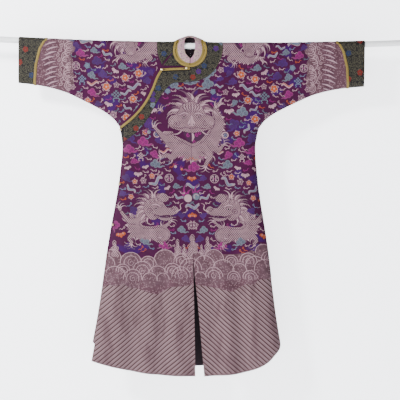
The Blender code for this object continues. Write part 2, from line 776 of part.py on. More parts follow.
def build_facing(panel_at, finish):
    """The pale neck facing: it lies in from the neckline in front and stands up at the back."""
    across = 3
    downs = [-s for s in OVER_ROWS[4:0:-1]] + OVER_ROWS + NECK_ROWS[:-1]
    quarter = [math.degrees(math.asin((NECK_DROP - s) / NECK_RADIUS)) for s in downs]
    angles = np.array([-88.5] + quarter[::-1] + [90.0] + [180 - a for a in quarter] + [268.5])
    base = []
    for a in np.radians(angles):
        radius = NECK_RADIUS - 0.0012
        x, s = radius * math.cos(a), NECK_DROP - radius * math.sin(a)
        point, normal, level = panel_at(x, s).at(x, s)
        point = point + normal * level * float(smooth(-x / 0.05))
        point[2] += FACING_STAND * float(smooth((math.sin(a) - 0.25) / 0.5))
        base.append(point)
    base = np.array(base)
    degrees = column(FACING_RIM, 0)
    rim = np.column_stack([np.interp(angles, degrees, column(FACING_RIM, i)) for i in (1, 2, 3)])
    shares = np.linspace(0, 1, across + 1)[None, :, None]
    points = base[:, None, :] * (1 - shares) + rim[:, None, :] * shares
    outwards = np.zeros_like(points)
    outwards[..., 1] = -1.0
    outwards[..., 2] = np.clip((points[..., 2] - 0.010) / 0.02, 0, 1)
    outwards /= np.linalg.norm(outwards, axis=2, keepdims=True)
    points = points + 0.0016 * np.sin(np.pi * shares) * outwards
    quads = grid_quads(len(angles), across + 1, True)
    points = points.reshape(-1, 3)
    return wall("neck_facing", points, vertex_normals(points, quads), quads, FACING_WALL, finish)


def build_rod(finish):
    """The round hanging rod, bowed a little, with flat ends."""
    mesh = bmesh.new()
    rings = []
    for x in np.linspace(-ROD_HALF, ROD_HALF, 19):
        ring = []
        for i in range(ROD_SIDES):
            a = 2 * math.pi * i / ROD_SIDES
            place = (x, ROD_RADIUS * math.sin(a), ROD_RADIUS * math.cos(a) + float(rod_rise(x)))
            ring.append(mesh.verts.new(place))
        rings.append(ring)
    for a, b in zip(rings, rings[1:]):
        for i in range(ROD_SIDES):
            j = (i + 1) % ROD_SIDES
            mesh.faces.new([a[i], b[i], b[j], a[j]])
    mesh.faces.new(rings[0])
    mesh.faces.new(list(reversed(rings[-1])))
    bmesh.ops.recalc_face_normals(mesh, faces=mesh.faces)
    data = bpy.data.meshes.new("rod")
    mesh.to_mesh(data)
    mesh.free()
    return link("rod", data, finish)


def frame_at(x, s, lift):
    """Point and outward normal of the front's cloth at a place, moved out by lift."""
    step = 0.0015
    here, across, down = drape([(x, s), (x + step, s), (x, s + step)])
    out = np.cross(down - here, across - here)
    out /= np.linalg.norm(out)
    return here + out * lift, out


BUTTON_PROFILE = (
    # radius, height
    (0.0000, 0.0000),
    (0.0030, 0.0000),
    (0.0030, 0.0008),
    (0.0012, 0.0009),
    (0.0012, 0.0031),
)
BALL_HEIGHT = 0.0078
BALL_ANGLES = (-50, -18, 14, 46)
CORD_RADIUS = 0.0007
LOOP_RADIUS = 0.0023
LOOP_HEIGHT = 0.0020
LEG_GAP = 0.00095
LEG_STATIONS = ((0.0145, 0.00100), (0.0095, 0.00110), (0.0050, 0.00165))


def build_button(name, x, z, over, finish):
    """A ball on a short neck and a round foot, turned about its own axis."""
    profile = list(BUTTON_PROFILE)
    for degrees in BALL_ANGLES:
        a = math.radians(degrees)
        profile.append((BALL_RADIUS * math.cos(a), BALL_HEIGHT + BALL_RADIUS * math.sin(a)))
    profile.append((0.0, BALL_HEIGHT + BALL_RADIUS))
    mesh = bmesh.new()
    verts = [mesh.verts.new((r, 0, h)) for r, h in profile]
    edges = [mesh.edges.new(pair) for pair in zip(verts, verts[1:])]
    bmesh.ops.spin(
        mesh, geom=verts + edges, cent=(0, 0, 0), axis=(0, 0, 1), angle=2 * math.pi, steps=8, use_merge=True
    )
    bmesh.ops.remove_doubles(mesh, verts=mesh.verts, dist=0.00001)
    bmesh.ops.recalc_face_normals(mesh, faces=mesh.faces)
    data = bpy.data.meshes.new(name)
    mesh.to_mesh(data)
    mesh.free()
    foot, out = frame_at(x, float(s_of(z)), over)
    turn = Vector(out).to_track_quat("Z", "Y").to_matrix().to_4x4()
    data.transform(Matrix.Translation(Vector(foot)) @ turn)
    return link(name, data, finish)


def build_loop(name, x, z, over, heading, finish):
    """The cord loop round a button's neck, with its two legs lying on the lap."""
    s = float(s_of(z))
    foot, out = frame_at(x, s, over)
    ahead, _ = frame_at(x + 0.004 * heading[0], s - 0.004 * heading[1], over)
    forward = ahead - foot
    forward -= out * forward.dot(out)
    forward /= np.linalg.norm(forward)
    aside = np.cross(out, forward)
    path = []
    for reach, height in LEG_STATIONS:
        place = (x + reach * heading[0], s - reach * heading[1])
        point, normal = frame_at(*place, over + height)
        path.append(point + aside * LEG_GAP)
    for degrees in range(50, 311, 37):
        a = math.radians(degrees)
        around = forward * math.cos(a) + aside * math.sin(a)
        path.append(foot + around * LOOP_RADIUS + out * LOOP_HEIGHT)
    for reach, height in reversed(LEG_STATIONS):
        place = (x + reach * heading[0], s - reach * heading[1])
        point, normal = frame_at(*place, over + height)
        path.append(point - aside * LEG_GAP)
    path = np.array(path)
    along = np.gradient(path, axis=0)
    along /= np.linalg.norm(along, axis=1, keepdims=True)
    mesh = bmesh.new()
    rings = []
    for point, way in zip(path, along):
        up = out - way * way.dot(out)
        up /= np.linalg.norm(up)
        beside = np.cross(way, up)
        turns = [2 * math.pi * i / 6 for i in range(6)]
        rings.append(
            [mesh.verts.new(point + CORD_RADIUS * (up * math.cos(a) + beside * math.sin(a))) for a in turns]
        )
    for a, b in zip(rings, rings[1:]):
        for i in range(6):
            mesh.faces.new([a[i], a[(i + 1) % 6], b[(i + 1) % 6], b[i]])
    mesh.faces.new(list(reversed(rings[0])))
    mesh.faces.new(rings[-1])
    bmesh.ops.recalc_face_normals(mesh, faces=mesh.faces)
    data = bpy.data.meshes.new(name)
    mesh.to_mesh(data)
    mesh.free()
    return link(name, data, finish)


# Where each button's foot stands, the way its loop's legs run, and what lies below it.
ON_BRAID = BRAID_LIFT + BRAID_WALL / 2 + 0.0006
ON_BAND = BAND_LIFT + BAND_WALL / 2 + TURN_EASE + 0.0004
ON_LAP = WALL / 2 + 0.0006
BUTTON_TABLE = (
    # name, x, height, level, legs_across, legs_up
    ("neck", -0.0140, -0.0965, ON_BRAID, -1.0, -0.06),
    ("corner", -0.1150, -0.1040, ON_BRAID, 0.95, 0.10),
    ("armpit", -0.2770, -0.3520, ON_BAND, 0.90, 0.30),
    ("side_upper", -0.2800, -0.5800, ON_LAP, 1.0, 0.0),
    ("side_lower", -0.3060, -0.7500, ON_LAP - 0.0007, 1.0, 0.0),
)

# The hems that the front hides or that show only through the vent.
BACK_LEFT_HEM_TABLE = tuple((x + 0.028 * (1 - x / 0.392), z) for x, z in BACK_HEM_TABLE)
BACK_RIGHT_HEM_TABLE = tuple((-x + 0.015 * (1 - x / 0.392), z) for x, z in BACK_HEM_TABLE)
INNER_HEM_TABLE = tuple(
    (-x + 0.010 * (1 - x / 0.392), z + 0.03 * (1 - x / 0.392))
    for x, z in BACK_HEM_TABLE
)
INNER_EDGE_IN = 0.016


def build_robe():
    """Builds every piece of the robe and its rod."""
    silk = material("purple_silk", (0.16, 0.012, 0.13), 0.55)
    band = material("dark_brocade", (0.02, 0.02, 0.03), 0.6)
    gold = material("gold_braid", (0.52, 0.42, 0.16), 0.45, 0.3)
    pale = material("pale_brocade", (0.55, 0.42, 0.45), 0.6)
    brass = material("gilt_brass", (0.62, 0.45, 0.20), 0.35, 1.0)
    cord = material("dark_cord", (0.05, 0.03, 0.06), 0.6)
    paint = material("white_paint", (0.85, 0.86, 0.86), 0.4)

    build_rod(paint)
    front_left = build_half("front_left", 1, True, edge_of(2), LEFT_HEM_TABLE, silk)
    back_left = build_half("back_left", 1, False, edge_of(4), BACK_LEFT_HEM_TABLE, silk)
    back_right = build_half("back_right", -1, False, edge_of(3), BACK_RIGHT_HEM_TABLE, silk)
    inner_edge = lambda z: edge_of(1)(z) - INNER_EDGE_IN
    inner_front = build_half("inner_front", -1, True, inner_edge, INNER_HEM_TABLE, silk, inner_lift, True)
    lap = build_lap(silk)
    panels = {
        (1, True): front_left,
        (1, False): back_left,
        (-1, True): inner_front,
        (-1, False): back_right,
    }

    def panel_at(x, s):
        return panels[(1 if x > 0 else -1, s >= 0)]

    build_neck_bands(panel_at, band, gold)
    build_lap_bands(lap, band, gold)
    build_facing(panel_at, pale)
    for name, end in (("left", LEFT_END), ("right", RIGHT_END)):
        build_tube(f"cuff_{name}", end, SEAM, None, 3, WALL, 0.0, band)
        lift = WALL / 2 + 0.0006 + BRAID_WALL / 2
        half = CUFF_BRAID_WIDTH / 2
        build_tube(f"cuff_braid_{name}", end, -half, half, 1, BRAID_WALL, lift, gold)
    for name, x, z, level, across, up in BUTTON_TABLE:
        over = level + float(lap_lift(np.array([x]), np.array([z]))[0])
        build_button(f"button_{name}", x, z, over, brass)
        build_loop(f"loop_{name}", x, z, over, (across, up), cord)


for old in list(bpy.data.objects):
    bpy.data.objects.remove(old)
build_robe()
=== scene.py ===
"""Looks of the Chinese dragon robe on its hanging rod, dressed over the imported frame.

Every piece is made in the robe's own flat places (x, s): x across, and s down the cloth from the
shoulder fold, positive on the front and negative on the back. Form.drape() hangs those places in
space, so panels, bands, braid and the woven pattern all lie on one form. Metres, +Z up.
"""

import logging
import math
from dataclasses import dataclass, field
from enum import Enum
from typing import Callable, Sequence

import bmesh
import bpy
import numpy as np
from mathutils import Matrix, Vector
from mathutils.geometry import tessellate_polygon


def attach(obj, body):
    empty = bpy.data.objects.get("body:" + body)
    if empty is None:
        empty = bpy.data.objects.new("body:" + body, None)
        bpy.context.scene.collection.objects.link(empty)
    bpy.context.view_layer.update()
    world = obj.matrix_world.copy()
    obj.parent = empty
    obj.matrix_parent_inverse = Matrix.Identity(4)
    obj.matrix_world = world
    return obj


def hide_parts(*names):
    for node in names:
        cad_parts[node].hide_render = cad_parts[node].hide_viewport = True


log = logging.getLogger("robe")
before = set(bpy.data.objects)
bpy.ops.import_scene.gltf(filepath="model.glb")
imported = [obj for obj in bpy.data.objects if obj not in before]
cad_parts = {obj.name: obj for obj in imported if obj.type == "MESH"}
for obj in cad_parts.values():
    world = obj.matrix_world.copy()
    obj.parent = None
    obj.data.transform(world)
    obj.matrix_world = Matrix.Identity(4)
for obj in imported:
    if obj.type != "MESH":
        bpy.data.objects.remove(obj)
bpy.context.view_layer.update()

Array = np.ndarray
Lift = Callable[[Array, Array], Array]
Table = Sequence[Sequence[float]]
Piece, Material = bpy.types.Object, bpy.types.Material
Tree, Socket = bpy.types.NodeTree, bpy.types.NodeSocket
MM = 0.001
PER_METRE = 1000


def metres(*rows: Sequence[float]) -> tuple[tuple[float, ...], ...]:
    """A table of lengths in millimetres, as metres."""
    return tuple(tuple(round(v / PER_METRE, 9) for v in row) for row in rows)


# The robe's lines, in millimetres from its centre line and the level of the rod's middle.
SIDE_TABLE = metres(
    # height, half_width
    (-340, 290), (-390, 279.5), (-440, 276.5), (-560, 288), (-660, 303), (-750, 319), (-860, 336), (-1000, 354),
    (-1120, 371), (-1240, 392),
)
UNDERARM_TABLE = metres(
    # distance_from_centre, height
    (800, -154), (720, -161), (650, -168), (594, -177), (546, -189), (504, -203), (456, -225), (407, -249),
    (355, -277), (314, -308), (290, -340),
)
CUFF_TABLE = metres(
    # height, width
    (-200, 68), (-160, 68), (-90, 73), (-30, 89), (20, 118), (80, 140),
)
LAP_HEM_TABLE = metres(
    # x, height
    (-391, -1316), (-308, -1336), (-233, -1352), (-175, -1361), (-109, -1368), (-42, -1371), (39, -1371.5),
)
LEFT_HEM_TABLE = metres(
    # x, height
    (75, -1372), (149, -1367), (226, -1355), (288, -1334), (330, -1311), (364, -1279), (384, -1258),
    (391.6, -1239),
)
BACK_HEM_TABLE = metres(
    # distance_from_centre, height
    (0, -1340), (150, -1330), (260, -1305), (340, -1272), (391.6, -1239),
)
BACK_LEFT_HEM_TABLE = tuple((x + 0.028 * (1 - x / 0.392), z) for x, z in BACK_HEM_TABLE)
BACK_RIGHT_HEM_TABLE = tuple((-x + 0.015 * (1 - x / 0.392), z) for x, z in BACK_HEM_TABLE)
INNER_HEM_TABLE = tuple((-x + 0.010 * (1 - x / 0.392), z + 0.03 * (1 - x / 0.392)) for x, z in BACK_HEM_TABLE)
LAP_TOP_TABLE = metres(
    # x, height
    (-0.2, -91.2), (-60, -93.8), (-120, -98.5),
)
LAP_EDGE_TABLE = metres(
    # x, height
    (-120, -98.5), (-140, -134), (-161, -189), (-190, -243), (-231, -293), (-284, -340), (-275.5, -390),
    (-272.5, -440), (-283, -560), (-297, -660), (-311, -750), (-320, -813), (-334, -929), (-356, -1083),
    (-368, -1161), (-380, -1249), (-391, -1316),
)
BAND_TABLE = (
    # degrees, radius
    (-90, 0.131), (-20, 0.132), (15, 0.141), (50, 0.134), (90, 0.128),
)
BAND_LOWER_TABLE = metres(
    # x, height
    (-0.2, -154), (-40, -155), (-74, -161), (-110, -198), (-138, -245), (-171, -306), (-212, -359),
    (-249, -390), (-273, -407),
)
CENTRE_TABLE = metres(
    # height, lap_edge, left_edge, back_right_edge, back_left_edge
    (0, 0, 0, 0, 0), (-80, 0, 0, 0, 0), (-560, 14, 14, 10, 10), (-867, 22.5, 22.5, 14, 14),
    (-954, 26, 30, 14.5, 16), (-1058, 29, 43, 15, 19), (-1182, 33, 56, 15, 23), (-1372, 38.5, 75, 15, 28),
)
FRONT_FOLDS = metres(
    # x_top, x_hem, start_height, half_width, depth
    (-185, -225, -620, 40, -7.5), (-135, -165, -700, 34, 5), (-85, -110, -660, 36, -7),
    (-235, -300, -600, 42, 6), (-20, -35, -800, 36, 5), (75, 120, -620, 38, -8.5), (130, 190, -680, 36, 7),
    (175, 245, -550, 36, -8), (215, 300, -600, 36, 6),
)
BACK_FOLDS = metres(
    # x_top, x_hem, start_height, half_width, depth
    (-190, -270, -580, 44, -6), (-120, -170, -660, 40, 6), (-60, -80, -600, 38, -5), (70, 100, -620, 40, 5),
    (130, 190, -560, 42, -6.5), (200, 285, -640, 44, 6),
)
# Soft creases placed one by one. A negative depth is a trough.
FRONT_CREASES = metres(
    # x, z, x_end, z_end, half_width, depth
    (205, -60, 285, -300, 12, -1.3), (240, -50, 330, -235, 10, 1.1), (180, -130, 262, -372, 14, 1.4),
    (330, -45, 395, -190, 11, -1.2), (470, -35, 505, -165, 10, 1), (560, -30, 580, -130, 12, -0.9),
    (-215, -70, -300, -290, 12, -1.3), (-262, -55, -350, -225, 11, 1.2), (-345, -40, -400, -205, 10, -1.1),
    (-480, -30, -520, -150, 12, 1), (-575, -40, -590, -120, 10, -0.9), (120, -330, 175, -520, 18, -1.5),
    (235, -400, 215, -610, 13, 1.3), (-175, -420, -160, -600, 16, -1.4), (-240, -440, -232, -575, 11, 1.1),
    (-60, -480, -75, -640, 18, -1.2), (55, -560, 80, -760, 16, 1.2), (-250, -780, -285, -1060, 13, 1.8),
    (-330, -980, -352, -1230, 11, -1.6), (-145, -930, -172, -1300, 14, -1.9), (-60, -1010, -55, -1290, 13, 1.7),
    (105, -880, 128, -1200, 13, -1.8), (165, -1060, 205, -1330, 15, 2), (262, -860, 318, -1180, 14, -2),
    (325, -990, 356, -1190, 10, 1.4),
)
BACK_CREASES = metres(
    # x, z, x_end, z_end, half_width, depth
    (200, -75, 270, -310, 13, -1.4), (265, -50, 345, -215, 11, 1.1), (420, -40, 455, -170, 10, -1),
    (-190, -80, -275, -290, 12, 1.3), (-300, -50, -370, -220, 11, -1.2), (-500, -35, -530, -150, 11, 1),
    (60, -300, 85, -520, 18, -1.3), (-110, -360, -140, -560, 16, 1.4), (210, -460, 225, -660, 14, 1.3),
    (-230, -620, -275, -900, 14, -1.7), (-85, -900, -110, -1240, 15, 1.8), (45, -960, 60, -1270, 13, -1.6),
    (160, -820, 205, -1150, 14, 1.9), (290, -900, 335, -1160, 12, -1.5), (-310, -980, -345, -1200, 11, 1.4),
)
FACING_RIM = (
    # degrees, x, y, z
    (-89, 0.003, -0.015, -0.0545), (-70, 0.009, -0.0158, -0.048), (-45, 0.0165, -0.0162, -0.036),
    (-20, 0.0205, -0.0164, -0.018), (0, 0.0212, -0.0165, 0), (20, 0.0208, -0.0164, 0.016),
    (45, 0.02, -0.012, 0.027), (65, 0.015, -0.002, 0.034), (90, -0.001, 0.004, 0.038),
    (115, -0.017, -0.002, 0.034), (135, -0.022, -0.012, 0.027), (160, -0.0232, -0.0164, 0.016),
    (180, -0.0236, -0.0165, 0), (200, -0.0236, -0.0164, -0.017), (225, -0.018, -0.0162, -0.034),
    (250, -0.008, -0.0158, -0.046), (269, 0.001, -0.015, -0.0545),
)
# Where the wave border starts on the skirt, and where its stripes start.
CREST_TABLE = metres(
    # x, height
    (-400, -840), (-310, -867), (-239, -878), (-156, -888), (-94, -873), (-32, -861), (22, -867), (72, -853),
    (126, -866), (184, -866), (238, -861), (292, -834), (400, -815),
)
STRIPE_TABLE = metres(
    # x, height
    (-420, -1020), (-345, -1008), (-279, -983), (-217, -1007), (-154, -1030), (-121, -1035), (-71, -1005),
    (-17, -1000), (32, -992), (74, -999), (128, -1007), (186, -1022), (240, -989), (293, -972), (420, -935),
)


def column(table: Table, index: int) -> Array:
    """One named column of a table, as an array."""
    return np.array([row[index] for row in table], float)


def smooth(t: Array | float) -> Array:
    """0 to 1 with no kink at either end."""
    t = np.clip(t, 0.0, 1.0)
    return t * t * (3.0 - 2.0 * t)


def curve_through(points: Table, count: int, closed: bool = False) -> Array:
    """Samples a smooth curve through points.

    Args:
        points: places that the curve goes through.
        count: number of equal steps along it.
        closed: brings the curve back to its first point.

    Returns:
        count + 1 places, evenly spaced along the curve.
    """
    p = np.array(points, float)
    ends = np.vstack([p[-1], p, p[:2]] if closed else [2 * p[0] - p[1], p, 2 * p[-1] - p[-2]])
    t = np.linspace(0, 1, 12, endpoint=False)[:, None]
    fine = []
    for a, b, c, d in zip(ends, ends[1:], ends[2:], ends[3:]):
        turned = (2 * a - 5 * b + 4 * c - d) * t**2 + (3 * b - a - 3 * c + d) * t**3
        fine.append(0.5 * (2 * b + (c - a) * t + turned))
    line = np.vstack(fine + [p[:1] if closed else p[-1:]])
    length = np.concatenate([[0], np.cumsum(np.linalg.norm(np.diff(line, axis=0), axis=1))])
    at = np.linspace(0, length[-1], count + 1)
    return np.column_stack([np.interp(at, length, line[:, i]) for i in range(p.shape[1])])


def unit(vectors: Array) -> Array:
    """Directions made one long, and left at nothing where they are nothing."""
    return vectors / np.maximum(np.linalg.norm(vectors, axis=-1, keepdims=True), 1e-15)


def along_and_left(line: Array) -> tuple[Array, Array]:
    """Unit directions along a flat line and to its left."""
    along = unit(np.gradient(line, axis=0))
    return along, np.column_stack([-along[:, 1], along[:, 0]])


def by_height(table: Table, index: int, z: Array | float) -> Array:
    """Reads a column of a table whose first column is the height, going down."""
    return np.interp(-np.asarray(z, float), -column(table, 0), column(table, index))


def by_x(table: Table, x: Array | float) -> Array:
    """Reads the second column of a table whose first column is x, in either order.

    Args:
        table: rows of x and a value.
        x: where to read it.

    Returns:
        The values there.
    """
    at = column(table, 0)
    order = np.argsort(at)
    return np.interp(x, at[order], column(table, 1)[order])


@dataclass(frozen=True)
class Form:
    """The hung robe's form: its sizes, and how a flat place on the cloth hangs in space."""

    wall: float = 0.0020
    band_wall: float = 0.0010
    braid_wall: float = 0.0010
    facing_wall: float = 0.0016
    seam: float = 0.00005
    lap_lift_height: float = 0.0036
    rod_radius: float = 0.0125
    rod_half: float = 0.900
    rod_rise: float = 0.0155
    rod_rise_at: float = 0.720
    fold_radius: float = 0.0141
    rise_fade: float = 0.16
    armhole: float = 0.300
    left_end: float = 0.728
    right_end: float = -0.714
    neck_radius: float = 0.0615
    neck_drop: float = 0.0417
    neck_stand_height: float = 0.0395
    neck_stand_fade: float = 0.060
    facing_stand: float = 0.0030
    fold_growth: float = 0.50
    hem_blend: float = -0.95
    side_end: float = -1.24
    armpit: float = -0.340

    @property
    def over_rod(self) -> float:
        """Length of cloth from the shoulder fold to the level of the rod's middle."""
        return math.pi * self.fold_radius / 2

    def s_of(self, z: Array | float) -> Array:
        """The distance down the cloth for a height on the front."""
        return self.over_rod - np.asarray(z, float)

    def seam_distance(self, x: Array, z: Array) -> Array:
        """How far places lie inside the underarm and side seams.

        Args:
            x: places across.
            z: heights.

        Returns:
            One distance for each place.
        """
        found = []
        a, b = OUTLINE[:-1], OUTLINE[1:]
        ab = b - a
        long = (ab**2).sum(1)
        for start in range(0, len(x), 20000):
            p = np.column_stack([np.abs(x[start : start + 20000]), z[start : start + 20000]])
            t = ((p[:, None, :] - a) * ab).sum(2) / long
            near = a + np.clip(t, 0, 1)[:, :, None] * ab
            found.append(np.linalg.norm(p[:, None, :] - near, axis=2).min(1))
        return np.concatenate(found)

    def folds(self, x: Array, z: Array, front: bool) -> Array:
        """How far the long soft folds and the creases move the cloth outwards.

        Args:
            x: places across.
            z: heights.
            front: takes the front's folds, or else the back's.

        Returns:
            One distance for each place.
        """
        total = np.zeros(len(x))
        for x_top, x_hem, start, half_width, depth in FRONT_FOLDS if front else BACK_FOLDS:
            down = np.clip((start - z) / (start + 1.372), 0, 1)
            middle = x_top + (x_hem - x_top) * down
            growth = smooth((start - z) / self.fold_growth)
            total += depth * growth * np.exp(-(((x - middle) / half_width) ** 2))
        for x_from, z_from, x_to, z_to, half_width, depth in FRONT_CREASES if front else BACK_CREASES:
            along = np.array([x_to - x_from, z_to - z_from])
            long = np.linalg.norm(along)
            t = ((x - x_from) * along[0] + (z - z_from) * along[1]) / long**2
            aside = ((x - x_from) * along[1] - (z - z_from) * along[0]) / long
            sway = 0.25 * half_width * np.sin(7.0 * t + 40.0 * x_from)
            ends = np.where((t > 0) & (t < 1), np.sin(math.pi * np.clip(t, 0, 1)) ** 0.7, 0.0)
            total += depth * ends * np.exp(-(((aside - sway) / half_width) ** 2))
        return total

    def stand_off(self, x: Array, z: Array, front: bool) -> Array:
        """Distance of the cloth's middle from the plane of the seams.

        Args:
            x: places across.
            z: heights.
            front: on the front, or else on the back.

        Returns:
            One distance for each place.
        """
        deep = (0.0200, 0.0310, 0.0400) if front else (0.0165, 0.0200, 0.0240)
        body = np.interp(-z, (0.0, 0.060, 0.350, 0.900, 1.380), (self.fold_radius, self.fold_radius, *deep))
        sleeve = self.fold_radius * (1 - 0.25 * smooth(-z / 0.17))
        share = smooth((np.abs(x) - 0.25) / 0.14) * smooth((z + 0.46) / 0.10)
        full = body + (sleeve - body) * share
        inside = self.seam_distance(x, z) / (0.036 + 0.030 * smooth((-0.40 - z) / 0.5))
        near_seam = np.clip(1 - inside, 0, 1)
        return full * np.sqrt(1 - near_seam**2) + self.folds(x, z, front) * smooth(inside)

    def rise(self, x: Array) -> Array:
        """The rod bows: its ends stand higher than its middle."""
        return self.rod_rise * (np.asarray(x, float) / self.rod_rise_at) ** 2

    def round_neck(self, x: Array, s: Array) -> tuple[Array, Array]:
        """Degrees up from the neck's side, and the distance from its middle."""
        return np.degrees(np.arctan2(self.neck_drop - s, np.abs(x))), np.hypot(x, self.neck_drop - s)

    def sleeve_end(self, side: int) -> float:
        """x of a sleeve's end, for the side 1 or -1."""
        return self.left_end if side > 0 else self.right_end

    def neck_stand(self, x: Array, s: Array) -> Array:
        """How far the back of the neck stands up behind the rod.

        Args:
            x: places across.
            s: places down the cloth.

        Returns:
            One height for each place.
        """
        degrees, radius = self.round_neck(x, s)
        near = 1 - smooth((radius - self.neck_radius) / self.neck_stand_fade)
        return self.neck_stand_height * smooth((degrees - 18) / 72) * near

    def drape(self, places: Array) -> Array:
        """Hangs flat places in space.

        Args:
            places: an array whose last axis is (x, s).

        Returns:
            Points on the cloth's middle surface, in the same shape with a last axis of 3.
        """
        xs = np.asarray(places, float)
        x, s = xs[..., 0].ravel(), xs[..., 1].ravel()
        front = s >= 0
        down = np.abs(s)
        angle = np.minimum(down, self.over_rod) / self.fold_radius
        z = np.where(down < self.over_rod, self.fold_radius * np.cos(angle), self.over_rod - down)
        flat = np.minimum(z, 0.0)
        off = np.empty(len(x))
        for is_front in (True, False):
            chosen = front == is_front
            if chosen.any():
                off[chosen] = self.stand_off(x[chosen], flat[chosen], is_front)
        off = np.where(down < self.over_rod, self.fold_radius * np.sin(angle), off)
        y = np.where(front, -np.maximum(off, 0.0), np.maximum(off, 0.0))
        z = z + self.rise(x) * (1 - smooth(-z / self.rise_fade)) + self.neck_stand(x, s)
        return np.stack([x, y, z], axis=-1).reshape(*xs.shape[:-1], 3)

    def surface(self, places: Array, level: Array | float) -> Array:
        """Points at a distance out from the cloth's middle surface.

        Args:
            places: flat places (x, s), one a row.
            level: distance along the outward normal, for each place.

        Returns:
            One point for each place.
        """
        return self.drape(places) + self.outwards(places) * np.reshape(level, (-1, 1))

    def outwards(self, places: Array) -> Array:
        """Outward normals of the cloth at flat places.

        Args:
            places: flat places (x, s), one a row.

        Returns:
            A unit direction for each place.
        """
        step = 0.0006
        edge = np.where(places[:, 1] >= 0, 1.0, -1.0)
        along = np.column_stack([np.zeros(len(places)), step * edge])
        across = np.array([[step, 0.0]])
        aside = self.drape(places + across) - self.drape(places - across)
        down = self.drape(places + along) - self.drape(places + 0.02 * along)
        return unit(np.cross(down, aside) * edge[:, None])

    def lap_level(self, x: Array, z: Array) -> Array:
        """How far the outer lap stands off the level of the wearer's left front."""
        return self.lap_lift_height * smooth((by_height(CENTRE_TABLE, 1, z) - x) / 0.10)

    def inner_level(self, x: Array, z: Array) -> Array:
        """The inner front's level: one lift below the outer lap, and none at the shoulder."""
        return (self.lap_level(x, z) - self.lap_lift_height) * smooth((-0.010 - z) / 0.060)

    def cuff_line(self, s: Array, end: float) -> Array:
        """Where the cuff meets the sleeve, at each distance down."""
        z = np.where(np.abs(s) < self.over_rod, self.fold_radius, self.over_rod - np.abs(s))
        return end - math.copysign(1, end) * np.interp(z, column(CUFF_TABLE, 0), column(CUFF_TABLE, 1))

    def height(self, s: Array | float) -> Array:
        """The level of a distance down the cloth, on either face."""
        return self.over_rod - np.abs(s)

    def hem_weight(self, z: float) -> float:
        """How far a row of points at a height is drawn to the hem's own line."""
        return smooth((self.hem_blend - z) / (self.hem_blend - self.side_end)) ** 1.3

    def underarm(self, x: Array) -> Array:
        """Distance down the cloth to the underarm seam."""
        line = OUTLINE[:60][np.argsort(OUTLINE[:60, 0])]
        return self.s_of(np.interp(np.abs(x), line[:, 0], line[:, 1]))

    def side_edge(self, z: Array | float) -> Array:
        """Half the width between the side seams at a height, below the armpit."""
        return np.interp(-np.asarray(z, float), -OUTLINE[60:, 1], OUTLINE[60:, 0])

    def lap_edge(self, z: Array | float) -> Array:
        """The lap's free edge at a height, from the corner down to the hem."""
        return np.interp(-np.asarray(z, float), -LAP_LINE[:, 1], LAP_LINE[:, 0])


def band_radius(degrees: Array) -> Array:
    """The dark neck band's outer radius at angles up from the neck's side."""
    return np.interp(degrees, column(BAND_TABLE, 0), column(BAND_TABLE, 1))


def seam_outline() -> Array:
    """The underarm seam and side seam as one smooth line, from past the cuff to past the hem.

    Returns:
        Places (distance from the centre, height) along it.
    """
    sleeve = curve_through(UNDERARM_TABLE, 60)
    side = curve_through([(w, z) for z, w in SIDE_TABLE], 60)
    return np.vstack([sleeve, side[1:], side[-1] + (side[-1] - side[-2]) * 12])


OUTLINE = seam_outline()
LAP_LINE = np.vstack([curve_through(LAP_EDGE_TABLE[:6], 40), curve_through(LAP_EDGE_TABLE[5:], 60)[1:]])
FORM = Form()


def linear(hex_colour: str) -> tuple[float, float, float, float]:
    """An sRGB hex colour as linear red, green, blue and alpha."""
    value = [int(hex_colour[i : i + 2], 16) / 255 for i in (1, 3, 5)]
    return (*[c / 12.92 if c <= 0.04045 else ((c + 0.055) / 1.055) ** 2.4 for c in value], 1.0)


def add(tree: Tree, kind: str, links: dict | None = None, **settings: object) -> bpy.types.Node:
    """Adds a node to a tree.

    Args:
        tree: the tree that gets the node.
        kind: the node's type name.
        links: input name or number, with a value or another node's output for it.
        settings: the node's own properties.

    Returns:
        The new node.
    """
    made = tree.nodes.new(kind)
    for name, value in settings.items():
        setattr(made, name, value)
    for name, value in (links or {}).items():
        if isinstance(value, Socket):
            tree.links.new(value, made.inputs[name])
        else:
            made.inputs[name].default_value = value
    return made


# At this scale a Wave texture's bands lie one unit apart, which is 1 mm on the places that the materials read.
WAVE_SCALE = 0.314


